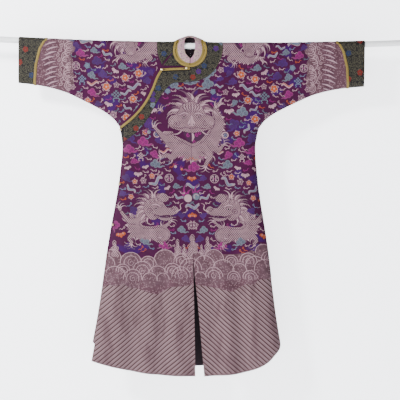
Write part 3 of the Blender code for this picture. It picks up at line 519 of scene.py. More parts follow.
@dataclass(frozen=True)
class Weave:
    """A woven silk: two thread colours, their spacing and the way it takes the light."""

    name: str
    thread: str
    shade: str
    pitch_mm: float = 1.6
    angle: float = 0.6
    contrast: float = 0.5
    roughness: float = 0.55
    sheen: float = 0.05
    gloss: float = 0.25
    bump: float = 0.25
    blotch: float = 0.35
    relief: float = 0.0002
    metallic: float = 0.0

    def uv(self, tree: Tree) -> Socket:
        """The flat cloth's places in millimetres, read from the piece's own map."""
        places = add(tree, "ShaderNodeUVMap", uv_map="cloth").outputs[0]
        return add(tree, "ShaderNodeMapping", {"Vector": places, "Scale": (PER_METRE,) * 3}).outputs[0]

    def own_places(self, tree: Tree) -> Socket:
        """The piece's own places in millimetres, for a finish that follows no cloth."""
        places = add(tree, "ShaderNodeTexCoord").outputs["Object"]
        return add(tree, "ShaderNodeMapping", {"Vector": places, "Scale": (PER_METRE,) * 3}).outputs[0]

    def colour(self, tree: Tree, places: Socket) -> tuple:
        """Thread colour and height of the weave.

        Args:
            tree: the material's tree.
            places: the flat places in millimetres.

        Returns:
            The colour's socket and the height's socket.
        """
        turned = add(tree, "ShaderNodeMapping", {"Vector": places, "Rotation": (0, 0, self.angle)})
        ribs = {"Vector": turned.outputs[0], "Scale": WAVE_SCALE / self.pitch_mm, "Distortion": 0.6}
        twill = add(tree, "ShaderNodeTexWave", {**ribs, "Detail": 1.0}).outputs["Fac"]
        blotches = {"Vector": places, "Scale": 0.022, "Detail": 3.0, "Roughness": 0.6}
        patch = add(tree, "ShaderNodeTexNoise", blotches).outputs["Fac"]
        faded = {"Value": patch, "From Min": 0.35, "From Max": 0.68, "To Max": self.blotch}
        fade = add(tree, "ShaderNodeMapRange", faded).outputs[0]
        mixed = {0: twill, 1: self.contrast, 2: fade}
        share = add(tree, "ShaderNodeMath", mixed, operation="MULTIPLY_ADD").outputs[0]
        return self.blend(tree, share, linear(self.thread), linear(self.shade)), twill

    @staticmethod
    def blend(tree: Tree, factor: object, first: object, second: object) -> Socket:
        """Mixes two colours, each a value or a socket, by a factor.

        Args:
            tree: the material's tree.
            factor: 0 for the first and 1 for the second.
            first: a colour.
            second: a colour.

        Returns:
            The mixed colour.
        """
        mix = add(tree, "ShaderNodeMix", {0: factor}, data_type="RGBA", clamp_factor=True)
        for index, value in ((6, first), (7, second)):
            if isinstance(value, Socket):
                tree.links.new(value, mix.inputs[index])
            else:
                mix.inputs[index].default_value = value
        return mix.outputs[2]

    @staticmethod
    def compare(tree: Tree, value: object, low: float, high: float) -> Socket:
        """0 where a value is under low, 1 where it is over high, and smooth between them."""
        parts = {"Value": value, "From Min": low, "From Max": high}
        return add(tree, "ShaderNodeMapRange", parts, interpolation_type="SMOOTHSTEP").outputs[0]

    def parts(self, tree: Tree) -> tuple[Socket, Socket]:
        """The finish's colour and the height of its relief."""
        return self.colour(tree, self.uv(tree))

    def make(self) -> Material:
        """Makes the material: sets its shader, and joins the finish's colour and relief to it.

        Returns:
            The new material.
        """
        made = bpy.data.materials.new(self.name)
        made.use_nodes = True
        tree = made.node_tree
        shader = tree.nodes["Principled BSDF"]
        values = {"Roughness": self.roughness, "Sheen Weight": self.sheen, "Sheen Roughness": 0.4}
        for socket, value in {**values, "Specular IOR Level": self.gloss, "Metallic": self.metallic}.items():
            shader.inputs[socket].default_value = value
        colour, height = self.parts(tree)
        tree.links.new(colour, shader.inputs["Base Color"])
        bump = add(tree, "ShaderNodeBump", {"Height": height, "Strength": self.bump, "Distance": self.relief})
        tree.links.new(bump.outputs[0], shader.inputs["Normal"])
        return made

    @staticmethod
    def ramp(tree: Tree, factor: object, stops: Sequence[tuple[float, str]]) -> Socket:
        """Colours along a factor, from places and hex colours.

        Args:
            tree: the material's tree.
            factor: the socket that picks the colour.
            stops: places and hex colours, in order.

        Returns:
            The colour's socket.
        """
        made = add(tree, "ShaderNodeValToRGB", {0: factor})
        elements = made.color_ramp.elements
        elements[0].position, elements[0].color = stops[0][0], linear(stops[0][1])
        elements[1].position, elements[1].color = stops[-1][0], linear(stops[-1][1])
        for place, colour in stops[1:-1]:
            elements.new(place).color = linear(colour)
        return made.outputs[0]


@dataclass(frozen=True)
class RobeGround(Weave):
    """The robe's ground: purple satin, with the wave border's field and the slanting stripes woven in.

    The panels carry how far each point lies inside the border and the stripes, and its place across
    the stripes, so both regions have sharp edges that follow the cloth.
    """

    field_light: str = "#745860"
    field_mid: str = "#5C404B"
    field_dark: str = "#331A22"
    violet: str = "#2E0346"
    stripe_pitch_mm: float = 19.0
    edge: float = 0.0004
    stripe_stops: tuple = (
        (0.00, "#25110F"),
        (0.20, "#2A1514"),
        (0.29, "#80686D"),
        (0.50, "#7C656A"),
        (0.62, "#6B545B"),
        (0.90, "#765E63"),
        (1.00, "#25110F"),
    )

    def water(self, tree: Tree, places: Socket) -> Socket:
        """The stippled silk of the wave borders.

        Args:
            tree: the material's tree.
            places: the flat places in millimetres.

        Returns:
            The colour's socket.
        """
        # The points of weft are 3 mm apart on the silk, and are drawn twice as far apart to stay in sight.
        speck = add(tree, "ShaderNodeTexVoronoi", {"Vector": places, "Scale": 0.15, "Randomness": 0.9})
        dots = self.compare(tree, speck.outputs["Distance"], 0.22, 0.46)
        cloudy = add(tree, "ShaderNodeTexNoise", {"Vector": places, "Scale": 0.03, "Detail": 2.0})
        ground = self.blend(tree, cloudy.outputs["Fac"], linear(self.field_dark), linear(self.field_mid))
        return self.blend(tree, dots, linear(self.field_light), ground)

    def parts(self, tree: Tree) -> tuple[Socket, Socket]:
        """The purple ground, the stippled border and the stripes, each in its own region; the stripes carry
        painted fold shade.

        Args:
            tree: the material's tree.

        Returns:
            The colour's socket and the height's socket.
        """
        places = self.uv(tree)
        purple, height = self.colour(tree, places)
        patch = add(tree, "ShaderNodeTexNoise", {"Vector": places, "Scale": 0.013, "Detail": 1.0})
        patched = self.compare(tree, patch.outputs["Fac"], 0.58, 0.63)
        purple = self.blend(tree, patched, purple, linear(self.violet))
        across = add(tree, "ShaderNodeAttribute", attribute_name="stripe_at").outputs["Fac"]
        pitched = {0: across, 1: PER_METRE / self.stripe_pitch_mm}
        pitched = add(tree, "ShaderNodeMath", pitched, operation="MULTIPLY").outputs[0]
        share = add(tree, "ShaderNodeMath", {0: pitched}, operation="FRACT").outputs[0]
        striped = self.ramp(tree, share, self.stripe_stops)
        # Painted fold shade: long streaks down the cloth darken the stripes towards the border's darkest mauve,
        # in place of the shade of the skirt's vertical folds.
        down_the_folds = add(tree, "ShaderNodeMapping", {"Vector": places, "Scale": (1.0, 0.28, 1.0)}).outputs[0]
        fold_streak_noise = {"Vector": down_the_folds, "Scale": 0.02, "Detail": 3.0, "Roughness": 0.6}
        fold_streaks = add(tree, "ShaderNodeTexNoise", fold_streak_noise).outputs["Fac"]
        wear_and_fold_shade = self.compare(tree, fold_streaks, 0.45, 0.70)
        striped = self.blend(tree, wear_and_fold_shade, striped, self.blend(tree, 0.42, striped, linear(self.field_dark)))
        inside = add(tree, "ShaderNodeAttribute", attribute_name="waves").outputs["Fac"]
        border = self.water(tree, places)
        colour = self.blend(tree, self.compare(tree, inside, -self.edge, self.edge), purple, border)
        below = add(tree, "ShaderNodeAttribute", attribute_name="stripes").outputs["Fac"]
        return self.blend(tree, self.compare(tree, below, -self.edge, self.edge), colour, striped), height


@dataclass(frozen=True)
class Stippled(RobeGround):
    """The silk of the drawn water, like the border that it lies on."""

    def parts(self, tree: Tree) -> tuple[Socket, Socket]:
        """The border's stipple, on the weave's relief."""
        places = self.uv(tree)
        return self.water(tree, places), self.colour(tree, places)[1]


@dataclass(frozen=True)
class ScaledSilk(Weave):
    """The dragons' silk: pale crossing lines over a darker mauve, which read as scales."""

    lattice_mm: float = 6.6
    lattice_turn: float = math.radians(40)
    gap: str = "#220619"

    def parts(self, tree: Tree) -> tuple[Socket, Socket]:
        """The lattice over its darker ground, which is its relief too.

        Args:
            tree: the material's tree.

        Returns:
            The colour's socket and the height's socket.
        """
        places = self.uv(tree)
        silk, _ = self.colour(tree, places)
        lines = []
        for turn in (self.lattice_turn, -self.lattice_turn):
            way = add(tree, "ShaderNodeMapping", {"Vector": places, "Rotation": (0, 0, turn)}).outputs[0]
            bands = {"Vector": way, "Scale": WAVE_SCALE / self.lattice_mm}
            lines.append(add(tree, "ShaderNodeTexWave", bands).outputs["Fac"])
        both = add(tree, "ShaderNodeMath", {0: lines[0], 1: lines[1]}, operation="MAXIMUM").outputs[0]
        net = self.compare(tree, both, 0.68, 0.88)
        patch = add(tree, "ShaderNodeTexNoise", {"Vector": places, "Scale": 0.03, "Detail": 2.0})
        faint = self.compare(tree, patch.outputs["Fac"], 0.36, 0.92)
        dark = self.blend(tree, faint, linear(self.gap), linear(self.shade))
        return self.blend(tree, net, dark, silk), both


@dataclass(frozen=True)
class Flowered(Weave):
    """A small-figured brocade on a solid: blurred flowers on Object coordinates."""

    flower: str = "#7B576C"
    leaf: str = "#9A8A7E"
    flower_mm: float = 15.0

    def parts(self, tree: Tree) -> tuple[Socket, Socket]:
        """Flowers with a leafy edge over the silk.

        Args:
            tree: the material's tree.

        Returns:
            The colour's socket and the height's socket.
        """
        places = self.own_places(tree)
        silk, height = self.colour(tree, places)
        cells = {"Vector": places, "Scale": 1 / self.flower_mm, "Randomness": 0.7}
        petals = add(tree, "ShaderNodeTexVoronoi", cells).outputs["Distance"]
        fine = add(tree, "ShaderNodeTexVoronoi", {"Vector": places, "Scale": 0.22, "Randomness": 1.0})
        rough = {0: fine.outputs["Distance"], 1: 0.35, 2: petals}
        ragged = add(tree, "ShaderNodeMath", rough, operation="MULTIPLY_ADD").outputs[0]
        near, edge = self.compare(tree, ragged, 0.62, 0.50), self.compare(tree, ragged, 0.78, 0.70)
        colour = self.blend(tree, edge, silk, linear(self.leaf))
        return self.blend(tree, near, colour, linear(self.flower)), height


@dataclass(frozen=True)
class Plain(Weave):
    """A solid finish with a fine grain on Object coordinates: paint, metal or cord."""

    grain_mm: float = 3.0

    def parts(self, tree: Tree) -> tuple[Socket, Socket]:
        """A colour worn by a fine grain, which is its relief too.

        Args:
            tree: the material's tree.

        Returns:
            The colour's socket and the height's socket.
        """
        grains = {"Vector": self.own_places(tree), "Scale": 1 / self.grain_mm, "Detail": 3.0}
        grain = add(tree, "ShaderNodeTexNoise", grains).outputs["Fac"]
        wear_and_fold_shade = self.compare(tree, grain, 0.35, 0.75)
        return self.blend(tree, wear_and_fold_shade, linear(self.thread), linear(self.shade)), grain


class Finish(Enum):
    """Every finish on the robe."""

    # Silk satin, woven: a deep purple that greys where the floats are worn, with painted fold shade streaked down
    # its stripes.
    GROUND = RobeGround("purple_silk_satin", "#3C0030", "#22001D", 1.5, 0.9, 0.30, 0.6, sheen=0.0, gloss=0.15)
    # Plain silk lining: flat and very dark.
    LINING = Weave("dark_purple_lining", "#1A0216", "#0C0007", 1.3, 0.0, 0.3, 0.6)
    # Silver-mauve weft silk: the crossing lines catch the light like scales.
    DRAGON = ScaledSilk("silver_mauve_silk", "#97797F", "#6D4D5B", 1.5, 0.4, 0.35, 0.5)
    # Weft silks of the small figures, each with a soft twill.
    PALE = Weave("pale_pink_silk", "#A08189", "#7C5D69", 1.4, 0.5, 0.4)
    MAUVE = Weave("mauve_silk", "#5A3A4A", "#40263A", 1.4, 0.5, 0.4)
    # The water's silk: dull mauve, stippled with darker points.
    WATER = Stippled("stippled_mauve_silk", "#60404F", "#472C39", 1.5, 0.5, 0.4)
    OUTLINE = Weave("plum_outline_silk", "#33092E", "#220320", 1.4, 0.5, 0.3)
    MAGENTA = Weave("magenta_silk", "#7E0860", "#4E053C", 1.4, 0.5, 0.5)
    VIOLET = Weave("violet_silk", "#3A0A58", "#28063E", 1.4, 0.7, 0.4, blotch=0.7)
    GREY = Weave("blue_grey_silk", "#555E6B", "#39424F", 1.4, 0.5, 0.4)
    BLUE = Weave("light_blue_silk", "#5D6982", "#424C66", 1.4, 0.5, 0.4)
    ORANGE = Weave("orange_silk", "#A0481C", "#6E240E", 1.4, 0.5, 0.4)
    # Dark brocade of the bands and cuffs.
    BLACK = Weave("black_brocade_ground", "#0A070A", "#040203", 1.3, 0.6, 0.4, 0.6)
    OLIVE = Weave("olive_grey_silk", "#433F33", "#26241A", 1.2, 0.4, 0.5)
    INDIGO = Weave("indigo_silk", "#1B2745", "#101932", 1.2, 0.4, 0.4)
    RED = Weave("brick_red_silk", "#651811", "#410D0A", 1.2, 0.4, 0.4)
    # Flat gold braid: metal-wrapped thread, dulled by age.
    GOLD = Weave("gold_thread_braid", "#85702F", "#57481D", 1.6, 0.8, 0.5, 0.45, gloss=0.4, bump=0.5)
    # Pale pink brocade of the neck facing, with mauve flowers.
    FACING = Flowered("pale_pink_brocade", "#997181", "#7F5B6B", 1.4, 0.5, 0.4)
    # Gilt brass, turned: darker where the gilding has rubbed off.
    BRASS = Plain(
        "gilt_brass", "#8A6A34", "#58401C", roughness=0.48, sheen=0.0, gloss=0.5, bump=0.15, metallic=1.0
    )
    # Silk cord, twisted: almost black.
    CORD = Plain("dark_silk_cord", "#2C1830", "#180D1B", roughness=0.65, bump=0.3, grain_mm=0.8)
    # Painted steel: smooth off-white with a soft gloss.
    PAINT = Plain(
        "white_painted_steel", "#F4F5F6", "#ECEEF0", roughness=0.36, sheen=0.0, gloss=0.5, bump=0.04, grain_mm=9.0
    )

    def material(self) -> Material:
        """This finish's material, made once."""
        return bpy.data.materials.get(self.value.name) or self.value.make()


def link(name: str, data: bpy.types.ID) -> Piece:
    """A new object in the scene.

    Args:
        name: its name.
        data: its mesh, light or camera.

    Returns:
        The object.
    """
    made = bpy.data.objects.new(name, data)
    bpy.context.scene.collection.objects.link(made)
    return made


def vertex_normals(points: Array, quads: Array) -> Array:
    """Area-weighted normals of a sheet of quads.

    Args:
        points: the sheet's points.
        quads: its quads.

    Returns:
        A unit direction for each point.
    """
    a, b, c, d = (points[quads[:, i]] for i in range(4))
    faces = np.cross(c - a, d - b)
    normals = np.zeros_like(points)
    for i in range(4):
        np.add.at(normals, quads[:, i], faces)
    return unit(normals)


def grid_quads(rows: int, columns: int, flip: bool) -> Array:
    """Quads of a grid stored row by row, turned over where flip is set.

    Args:
        rows: rows of points.
        columns: points in a row.
        flip: turns the quads over.

    Returns:
        Four point numbers a quad.
    """
    a = (np.arange(rows - 1)[:, None] * columns + np.arange(columns - 1)).ravel()
    b = a + columns
    return np.column_stack([a, b, b + 1, a + 1] if flip else [a, a + 1, b + 1, b])


def ring_faces(rings: int, sides: int) -> list[tuple[int, ...]]:
    """The faces of a round bar with flat ends, its points stored ring by ring.

    Args:
        rings: number of rings along it.
        sides: number of points round it.

    Returns:
        The point numbers of each face.
    """
    faces = []
    for start in range(0, (rings - 1) * sides, sides):
        for i in range(sides):
            a, b = start + i, start + (i + 1) % sides
            faces.append((a, b, b + sides, a + sides))
    last = (rings - 1) * sides
    return [*faces, tuple(range(sides - 1, -1, -1)), tuple(range(last, last + sides))]


def rim_edges(quads: Array) -> Array:
    """Directed edges that only one quad has.

    Args:
        quads: four point numbers each.

    Returns:
        Two point numbers an edge.
    """
    edges = np.vstack([quads[:, [i, (i + 1) % 4]] for i in range(4)])
    size = int(quads.max()) + 1
    keys = edges[:, 0] * size + edges[:, 1]
    back = edges[:, 1] * size + edges[:, 0]
    return edges[~np.isin(keys, back)]


def make_piece(
    name: str,
    points: Array,
    faces: Sequence,
    finishes: Sequence[Finish],
    chosen: Sequence[int] | None = None,
    places: Array | None = None,
    fields: dict[str, Array] | None = None,
    sharp: float = 50.0,
) -> Piece:
    """Makes an object from points and faces.

    Args:
        name: the piece's name.
        points: one place in space a row.
        faces: point numbers of each face.
        finishes: the piece's finishes.
        chosen: the number of each face's finish, or None for the first.
        places: flat places (x, s) for the map named cloth.
        fields: values for each point, by name.
        sharp: the angle in degrees past which an edge is sharp.

    Returns:
        The new object, in the scene.
    """
    mesh = bpy.data.meshes.new(name)
    mesh.from_pydata(points.tolist(), [], [list(map(int, f)) for f in faces])
    for finish in finishes:
        mesh.materials.append(finish.material())
    if chosen is not None:
        mesh.polygons.foreach_set("material_index", np.asarray(chosen, np.int32))
    if places is not None:
        corners = np.empty(len(mesh.loops), np.int32)
        mesh.loops.foreach_get("vertex_index", corners)
        layer = mesh.uv_layers.new(name="cloth")
        layer.uv.foreach_set("vector", places[corners].astype(np.float32).ravel())
    for field_name, values in (fields or {}).items():
        made = mesh.attributes.new(field_name, "FLOAT", "POINT")
        made.data.foreach_set("value", np.asarray(values, np.float32))
    mesh.shade_smooth()
    mesh.set_sharp_from_angle(angle=math.radians(sharp))
    return link(name, mesh)


def face_out(piece: Piece) -> Piece:
    """Turns the faces of a closed piece outwards.

    Args:
        piece: a closed piece.

    Returns:
        The piece.
    """
    made = bmesh.new()
    made.from_mesh(piece.data)
    bmesh.ops.recalc_face_normals(made, faces=made.faces)
    made.to_mesh(piece.data)
    made.free()
    return piece


def wall(
    name: str,
    places: Array,
    points: Array,
    quads: Array,
    thickness: float,
    level: Array | float,
    outside: Finish,
    inside: Finish,
    normals: Array | None = None,
    fields: dict[str, Array] | None = None,
) -> Piece:
    """A closed thin wall round a sheet, with its two faces and a rim along each free edge.

    Args:
        name: the piece's name.
        places: flat places of the points.
        points: the sheet's points.
        quads: the sheet's quads, facing out.
        thickness: the wall's thickness.
        level: how far the sheet is moved out.
        outside: the finish of the outer face and the rim.
        inside: the finish of the inner face.
        normals: outward directions, or None to work them out.
        fields: values for each point, by name.

    Returns:
        The new object.
    """
    out = vertex_normals(points, quads) if normals is None else normals
    move = np.broadcast_to(level, (len(points),))[:, None]
    top, low = points + out * (move + thickness / 2), points + out * (move - thickness / 2)
    count = len(points)
    rim = rim_edges(quads)
    sides = np.column_stack([rim[:, 1], rim[:, 0], rim[:, 0] + count, rim[:, 1] + count])
    faces = np.vstack([quads, quads[:, ::-1] + count, sides])
    chosen = np.concatenate([np.zeros(len(quads)), np.ones(len(quads)), np.zeros(len(sides))])
    doubled = {key: np.concatenate([v, v]) for key, v in (fields or {}).items()}
    return make_piece(
        name, np.vstack([top, low]), faces, [outside, inside], chosen, np.vstack([places, places]), doubled
    )


def flat_area(places: Array, quads: Array) -> float:
    """Area of a sheet of quads in its flat places.

    Args:
        places: flat places.
        quads: the sheet's quads.

    Returns:
        The area in square metres.
    """
    a, b, c, d = (places[quads[:, i]] for i in range(4))
    p, q = c - a, d - b
    return float(np.abs(p[:, 0] * q[:, 1] - p[:, 1] * q[:, 0]).sum() / 2)


def declare(
    piece: Piece,
    places: Array,
    quads: Array,
    node: str,
) -> Piece:
    """Attaches a sheet of cloth to the root, hides the node that it stands for, and logs the sheet's flat size.

    Args:
        piece: the sheet.
        places: its flat places.
        quads: its quads.
        node: the node that it replaces.

    Returns:
        The piece.
    """
    size = np.ptp(places, axis=0)
    area = min(flat_area(places, quads), size[0] * size[1])
    if area < 0.32 * size[0] * size[1]:
        turns = [math.radians(a) for a in range(0, 90, 3)]
        turned = [places @ [[math.cos(a), -math.sin(a)], [math.sin(a), math.cos(a)]] for a in turns]
        size = min((np.ptp(p, axis=0) for p in turned), key=np.prod)
    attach(piece, "root")
    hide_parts(node)
    log.info("%s: %d faces, flat %.0f x %.0f mm", piece.name, len(piece.data.polygons), *(1000 * size))
    return piece


# Distances down the cloth of the panels' rows, closer where the cloth turns at the rod and the seams.
OVER_ROWS = np.linspace(0, FORM.over_rod, 7)
NECK_ROWS = FORM.neck_drop + FORM.neck_radius * np.sin(np.radians(np.arange(0, 91, 6)))
ARM_HEIGHTS = [*np.arange(-0.088, -0.312, -0.008), -0.319, -0.325, -0.330, -0.334, -0.337, -0.339, -0.340]
SKIRT_HEIGHTS = [*np.arange(-0.348, -0.950, -0.0085), *np.linspace(-0.953, -1.240, 42)]
LOW_ROWS = [float(FORM.s_of(z)) for z in (*ARM_HEIGHTS, *SKIRT_HEIGHTS)]
ROWS = np.array([*OVER_ROWS, 0.029, 0.0355, *NECK_ROWS, *LOW_ROWS])
ARM_ROW = len(ROWS) - len(SKIRT_HEIGHTS) - 1
TO_SEAM = np.array([0.885, 0.908, 0.929, 0.947, 0.962, 0.974, 0.983, 0.990, 0.9955, 1.0])
ACROSS = np.concatenate([np.linspace(0, 0.86, 36), TO_SEAM])
ALONG_SLEEVE = np.linspace(0, 1, 46)


def down_sleeve(row: int, x: Array) -> Array:
    """Distance down the cloth of a row of points along the sleeve.

    Args:
        row: number of the row, from the shoulder fold.
        x: places across.

    Returns:
        Distance down the cloth for each x.
    """
    if row < len(OVER_ROWS):
        return np.full(len(x), ROWS[row])
    share = (ROWS[row] - FORM.over_rod) / (ROWS[ARM_ROW] - FORM.over_rod)
    return FORM.over_rod + share * (FORM.underarm(x) - FORM.over_rod)


def sleeve_wave_edge(s: Array) -> Array:
    """Distance from the centre at which the sleeve's wave border starts, with a ragged crest."""
    return 0.492 + 0.006 * np.sin(np.abs(s) / 0.0105) - 0.004 * np.sin(np.abs(s) / 0.023 + 1.0)


@dataclass
class Panel:
    """One of the four cut pieces that make the robe's body, each in one with its sleeve."""

    name: str
    side: int
    front: bool
    centre_edge: int
    hem: Sequence[Sequence[float]]
    centre_shift: float = 0.0
    lift: Lift | None = None
    slot: str = "silk"
    top: float = FORM.wall / 2
    places: Array = field(default_factory=lambda: np.zeros((0, 2)))
    quads: Array = field(default_factory=lambda: np.zeros((0, 4), int))

    def edge(self, z: Array | float) -> Array:
        """x of the panel's centre edge at a height."""
        return by_height(CENTRE_TABLE, self.centre_edge, z) + self.centre_shift

    def level(self, places: Array) -> Array:
        """How far this panel stands off the form, at flat places.

        Args:
            places: flat places (x, s), one a row.

        Returns:
            One distance for each place.
        """
        if self.lift is None:
            return np.zeros(len(places))
        return self.lift(places[:, 0], FORM.height(places[:, 1]))

    def skirt_row(self, z: float, hem: Array) -> Array:
        """One row of flat places below the armpit, drawn down towards the hem's own line.

        Args:
            z: the row's height at the side seam.
            hem: points along the hem.

        Returns:
            Flat places (x, s), one a row.
        """
        heights = np.full(len(ACROSS), z)
        if z < FORM.hem_blend:
            first, last = float(self.edge(-1.34)), self.side * float(FORM.side_edge(FORM.side_end))
            drop = by_x(hem, first + (last - first) * ACROSS) - FORM.side_end
            heights = z + FORM.hem_weight(z) * drop
        start = self.edge(heights) + self.side * FORM.seam / 2
        outer = self.side * FORM.side_edge(heights)
        return np.column_stack([start + (outer - start) * ACROSS, FORM.s_of(heights)])

    def chest_row(self, s: float) -> Array:
        """One row of flat places from the centre or the neck out to the sleeve.

        Args:
            s: the row's distance down the cloth.

        Returns:
            Flat places (x, s), one a row.
        """
        sign = 1 if self.front else -1
        z = FORM.over_rod - s
        start = float(self.edge(min(z, 0.0))) + self.side * FORM.seam / 2
        into_neck = FORM.neck_radius**2 - (sign * s - FORM.neck_drop) ** 2
        if into_neck > 0:
            start = self.side * max(math.sqrt(into_neck), abs(start))
        outer = self.side * (FORM.armhole - 0.010 * float(smooth(-z / 0.34)))
        return np.column_stack([start + (outer - start) * ACROSS, np.full(len(ACROSS), s)])

    def lay_out(self) -> tuple[Array, Array]:
        """Lays the panel out flat.

        Returns:
            The numbers of the points that meet another panel at the shoulder and at the side.
        """
        sign = 1 if self.front else -1
        end = FORM.sleeve_end(self.side)
        hem = curve_through(self.hem, 80)
        body = [
            self.chest_row(s) if row <= ARM_ROW else self.skirt_row(FORM.over_rod - s, hem)
            for row, s in enumerate(ROWS)
        ]
        sleeve = []
        for row in range(ARM_ROW + 1):
            shared = body[row][-1, 0]
            x = shared + (end - shared) * ALONG_SLEEVE
            for _ in range(4):
                s = down_sleeve(row, x)
                x = shared + (FORM.cuff_line(s, end) - self.side * FORM.seam / 2 - shared) * ALONG_SLEEVE
            sleeve.append(np.column_stack([x, s])[1:])
        across, width = len(ACROSS), len(ALONG_SLEEVE) - 1
        rows = len(body)
        flip = (self.side > 0) == self.front
        index = rows * across + np.arange(len(sleeve) * width).reshape(len(sleeve), width)
        index = np.column_stack([np.arange(len(sleeve)) * across + across - 1, index])
        a, b, c, d = index[:-1, :-1], index[:-1, 1:], index[1:, 1:], index[1:, :-1]
        order = (a, d, c, b) if flip else (a, b, c, d)
        arm = np.column_stack([v.ravel() for v in order])
        self.places = np.vstack([*body, *sleeve]) * [1, sign]
        self.quads = np.vstack([grid_quads(rows, across, flip), arm])
        top = np.concatenate([np.arange(across), index[0, 1:]])
        side_rim = np.concatenate([np.arange(ARM_ROW, rows) * across + across - 1, index[-1, 1:]])
        return top, side_rim

    def trims(self, x: Array, s: Array) -> list[Array]:
        """Values that are negative off the part of the panel that carries the design.

        Args:
            x: places across.
            s: places down the cloth.

        Returns:
            Arrays of values, one for each edge that it keeps to.
        """
        z = FORM.height(s)
        side = np.maximum(FORM.underarm(x) - np.abs(s), FORM.side_edge(z) - np.abs(x))
        cuff = np.abs(FORM.cuff_line(s, FORM.sleeve_end(self.side))) - np.abs(x) - 0.0055
        degrees, radius = FORM.round_neck(x, s)
        neck = radius - band_radius(degrees)
        centre = self.side * (x - self.edge(np.minimum(z, 0))) - 0.0006
        found = [s if self.front else -s, side - 0.0008, cuff, neck - 0.0004, centre]
        if self.lift is not None:
            found += [FORM.lap_edge(z) - 0.014 - x, z + 0.345]
        return found

    def border_fields(self) -> dict[str, Array]:
        """How far each point lies inside the wave borders and the stripes, and across the stripes.

        Returns:
            Values for each point, by the name that the ground's finish reads.
        """
        x, s = self.places[:, 0], np.abs(self.places[:, 1])
        z = FORM.over_rod - s
        skirt = by_x(CREST_TABLE, x if self.front else -x) - z
        sleeve = np.abs(x) - sleeve_wave_edge(s)
        slant = self.side * (-0.86 if self.front else 0.86)
        return {
            "waves": np.maximum(skirt, np.minimum(sleeve, 0.34 - s)),
            "stripes": by_x(STRIPE_TABLE, x if self.front else -x) - z,
            "stripe_at": s + slant * x,
        }

    def build(self) -> Piece:
        """Makes the panel's thin shell.

        Returns:
            The panel.
        """
        top, side_rim = self.lay_out()
        points = FORM.drape(self.places)
        points[top, 1] = 0.0
        points[side_rim, 1] = (-1 if self.front else 1) * FORM.seam / 2
        out = vertex_normals(points, self.quads)
        out[np.concatenate([top, side_rim]), 1] = 0.0
        sheet = (f"{self.name}_silk", self.places, points, self.quads, FORM.wall, self.level(self.places))
        return wall(*sheet, Finish.GROUND, Finish.LINING, unit(out), self.border_fields())


@dataclass
class OuterLap(Panel):
    """The outer lap: from the centre seam across to the wearer's right side."""

    hem_start: float = 0.0385
    hem_stop: float = -0.391

    def level(self, places: Array) -> Array:
        """How far the lap stands off the form, at flat places."""
        return FORM.lap_level(places[:, 0], FORM.over_rod - places[:, 1])

    def lay_out(self) -> tuple[Array, Array]:
        """Lays the lap out flat.

        Returns:
            Two empty sets, because the lap meets no panel at the shoulder or the side.
        """
        hem = curve_through(self.hem, 60)
        top = curve_through(LAP_TOP_TABLE, 20)
        x = top[-1, 0] * ACROSS
        rows = [np.column_stack([x, by_x(top, x)])]
        rows[0][0, 0] = -FORM.seam / 2
        for z in [-0.105, -0.112, *[h for h in ARM_HEIGHTS if h < -0.118], *SKIRT_HEIGHTS]:
            heights = np.full(len(ACROSS), z)
            if z < FORM.hem_blend:
                at = self.hem_start + (self.hem_stop - self.hem_start) * ACROSS
                heights = z + FORM.hem_weight(z) * (by_x(hem, at) - FORM.side_end)
            start = self.edge(heights) - FORM.seam / 2
            rows.append(np.column_stack([start + (FORM.lap_edge(heights) - start) * ACROSS, heights]))
        self.places = np.vstack(rows)
        self.places[:, 1] = FORM.s_of(self.places[:, 1])
        self.quads = grid_quads(len(rows), len(ACROSS), False)
        return np.zeros(0, int), np.zeros(0, int)

    def trims(self, x: Array, s: Array) -> list[Array]:
        """Values that are negative off the part of the lap that carries the design.

        Args:
            x: places across.
            s: places down the cloth.

        Returns:
            Arrays of values, one for each edge that it keeps to.
        """
        z = FORM.over_rod - s
        lower = curve_through(BAND_LOWER_TABLE, 60)
        return [self.edge(z) - 0.0006 - x, by_x(lower, x) - 0.0005 - z, x - FORM.lap_edge(z) - 0.0015]


FRONT_LEFT = Panel("front_left", 1, True, 2, LEFT_HEM_TABLE)
BACK_LEFT = Panel("back_left", 1, False, 4, BACK_LEFT_HEM_TABLE)
BACK_RIGHT = Panel("back_right", -1, False, 3, BACK_RIGHT_HEM_TABLE)
INNER_FRONT = Panel("inner_front", -1, True, 1, INNER_HEM_TABLE, -0.016, FORM.inner_level)
OUTER_LAP = OuterLap("outer_lap", -1, True, 1, LAP_HEM_TABLE)


def body_level(places: Array) -> Array:
    """The level of whichever panel lies at flat places round the neck."""
    inner = FORM.inner_level(places[:, 0], FORM.height(places[:, 1]))
    return np.where((places[:, 0] < 0) & (places[:, 1] >= 0), inner, 0.0)


# The neck band's right part ends at these degrees: at the neckline, and at two radii further out.
RIGHT_LOW_ENDS = (-0.5, -9.8, -28.9)
RIGHT_RADII = (0.0722, 0.134)
# A braid is this many places wide, and its threads lie on two of them.
BRAID_PLACES = 7
THREAD_PLACES = (2, 4)


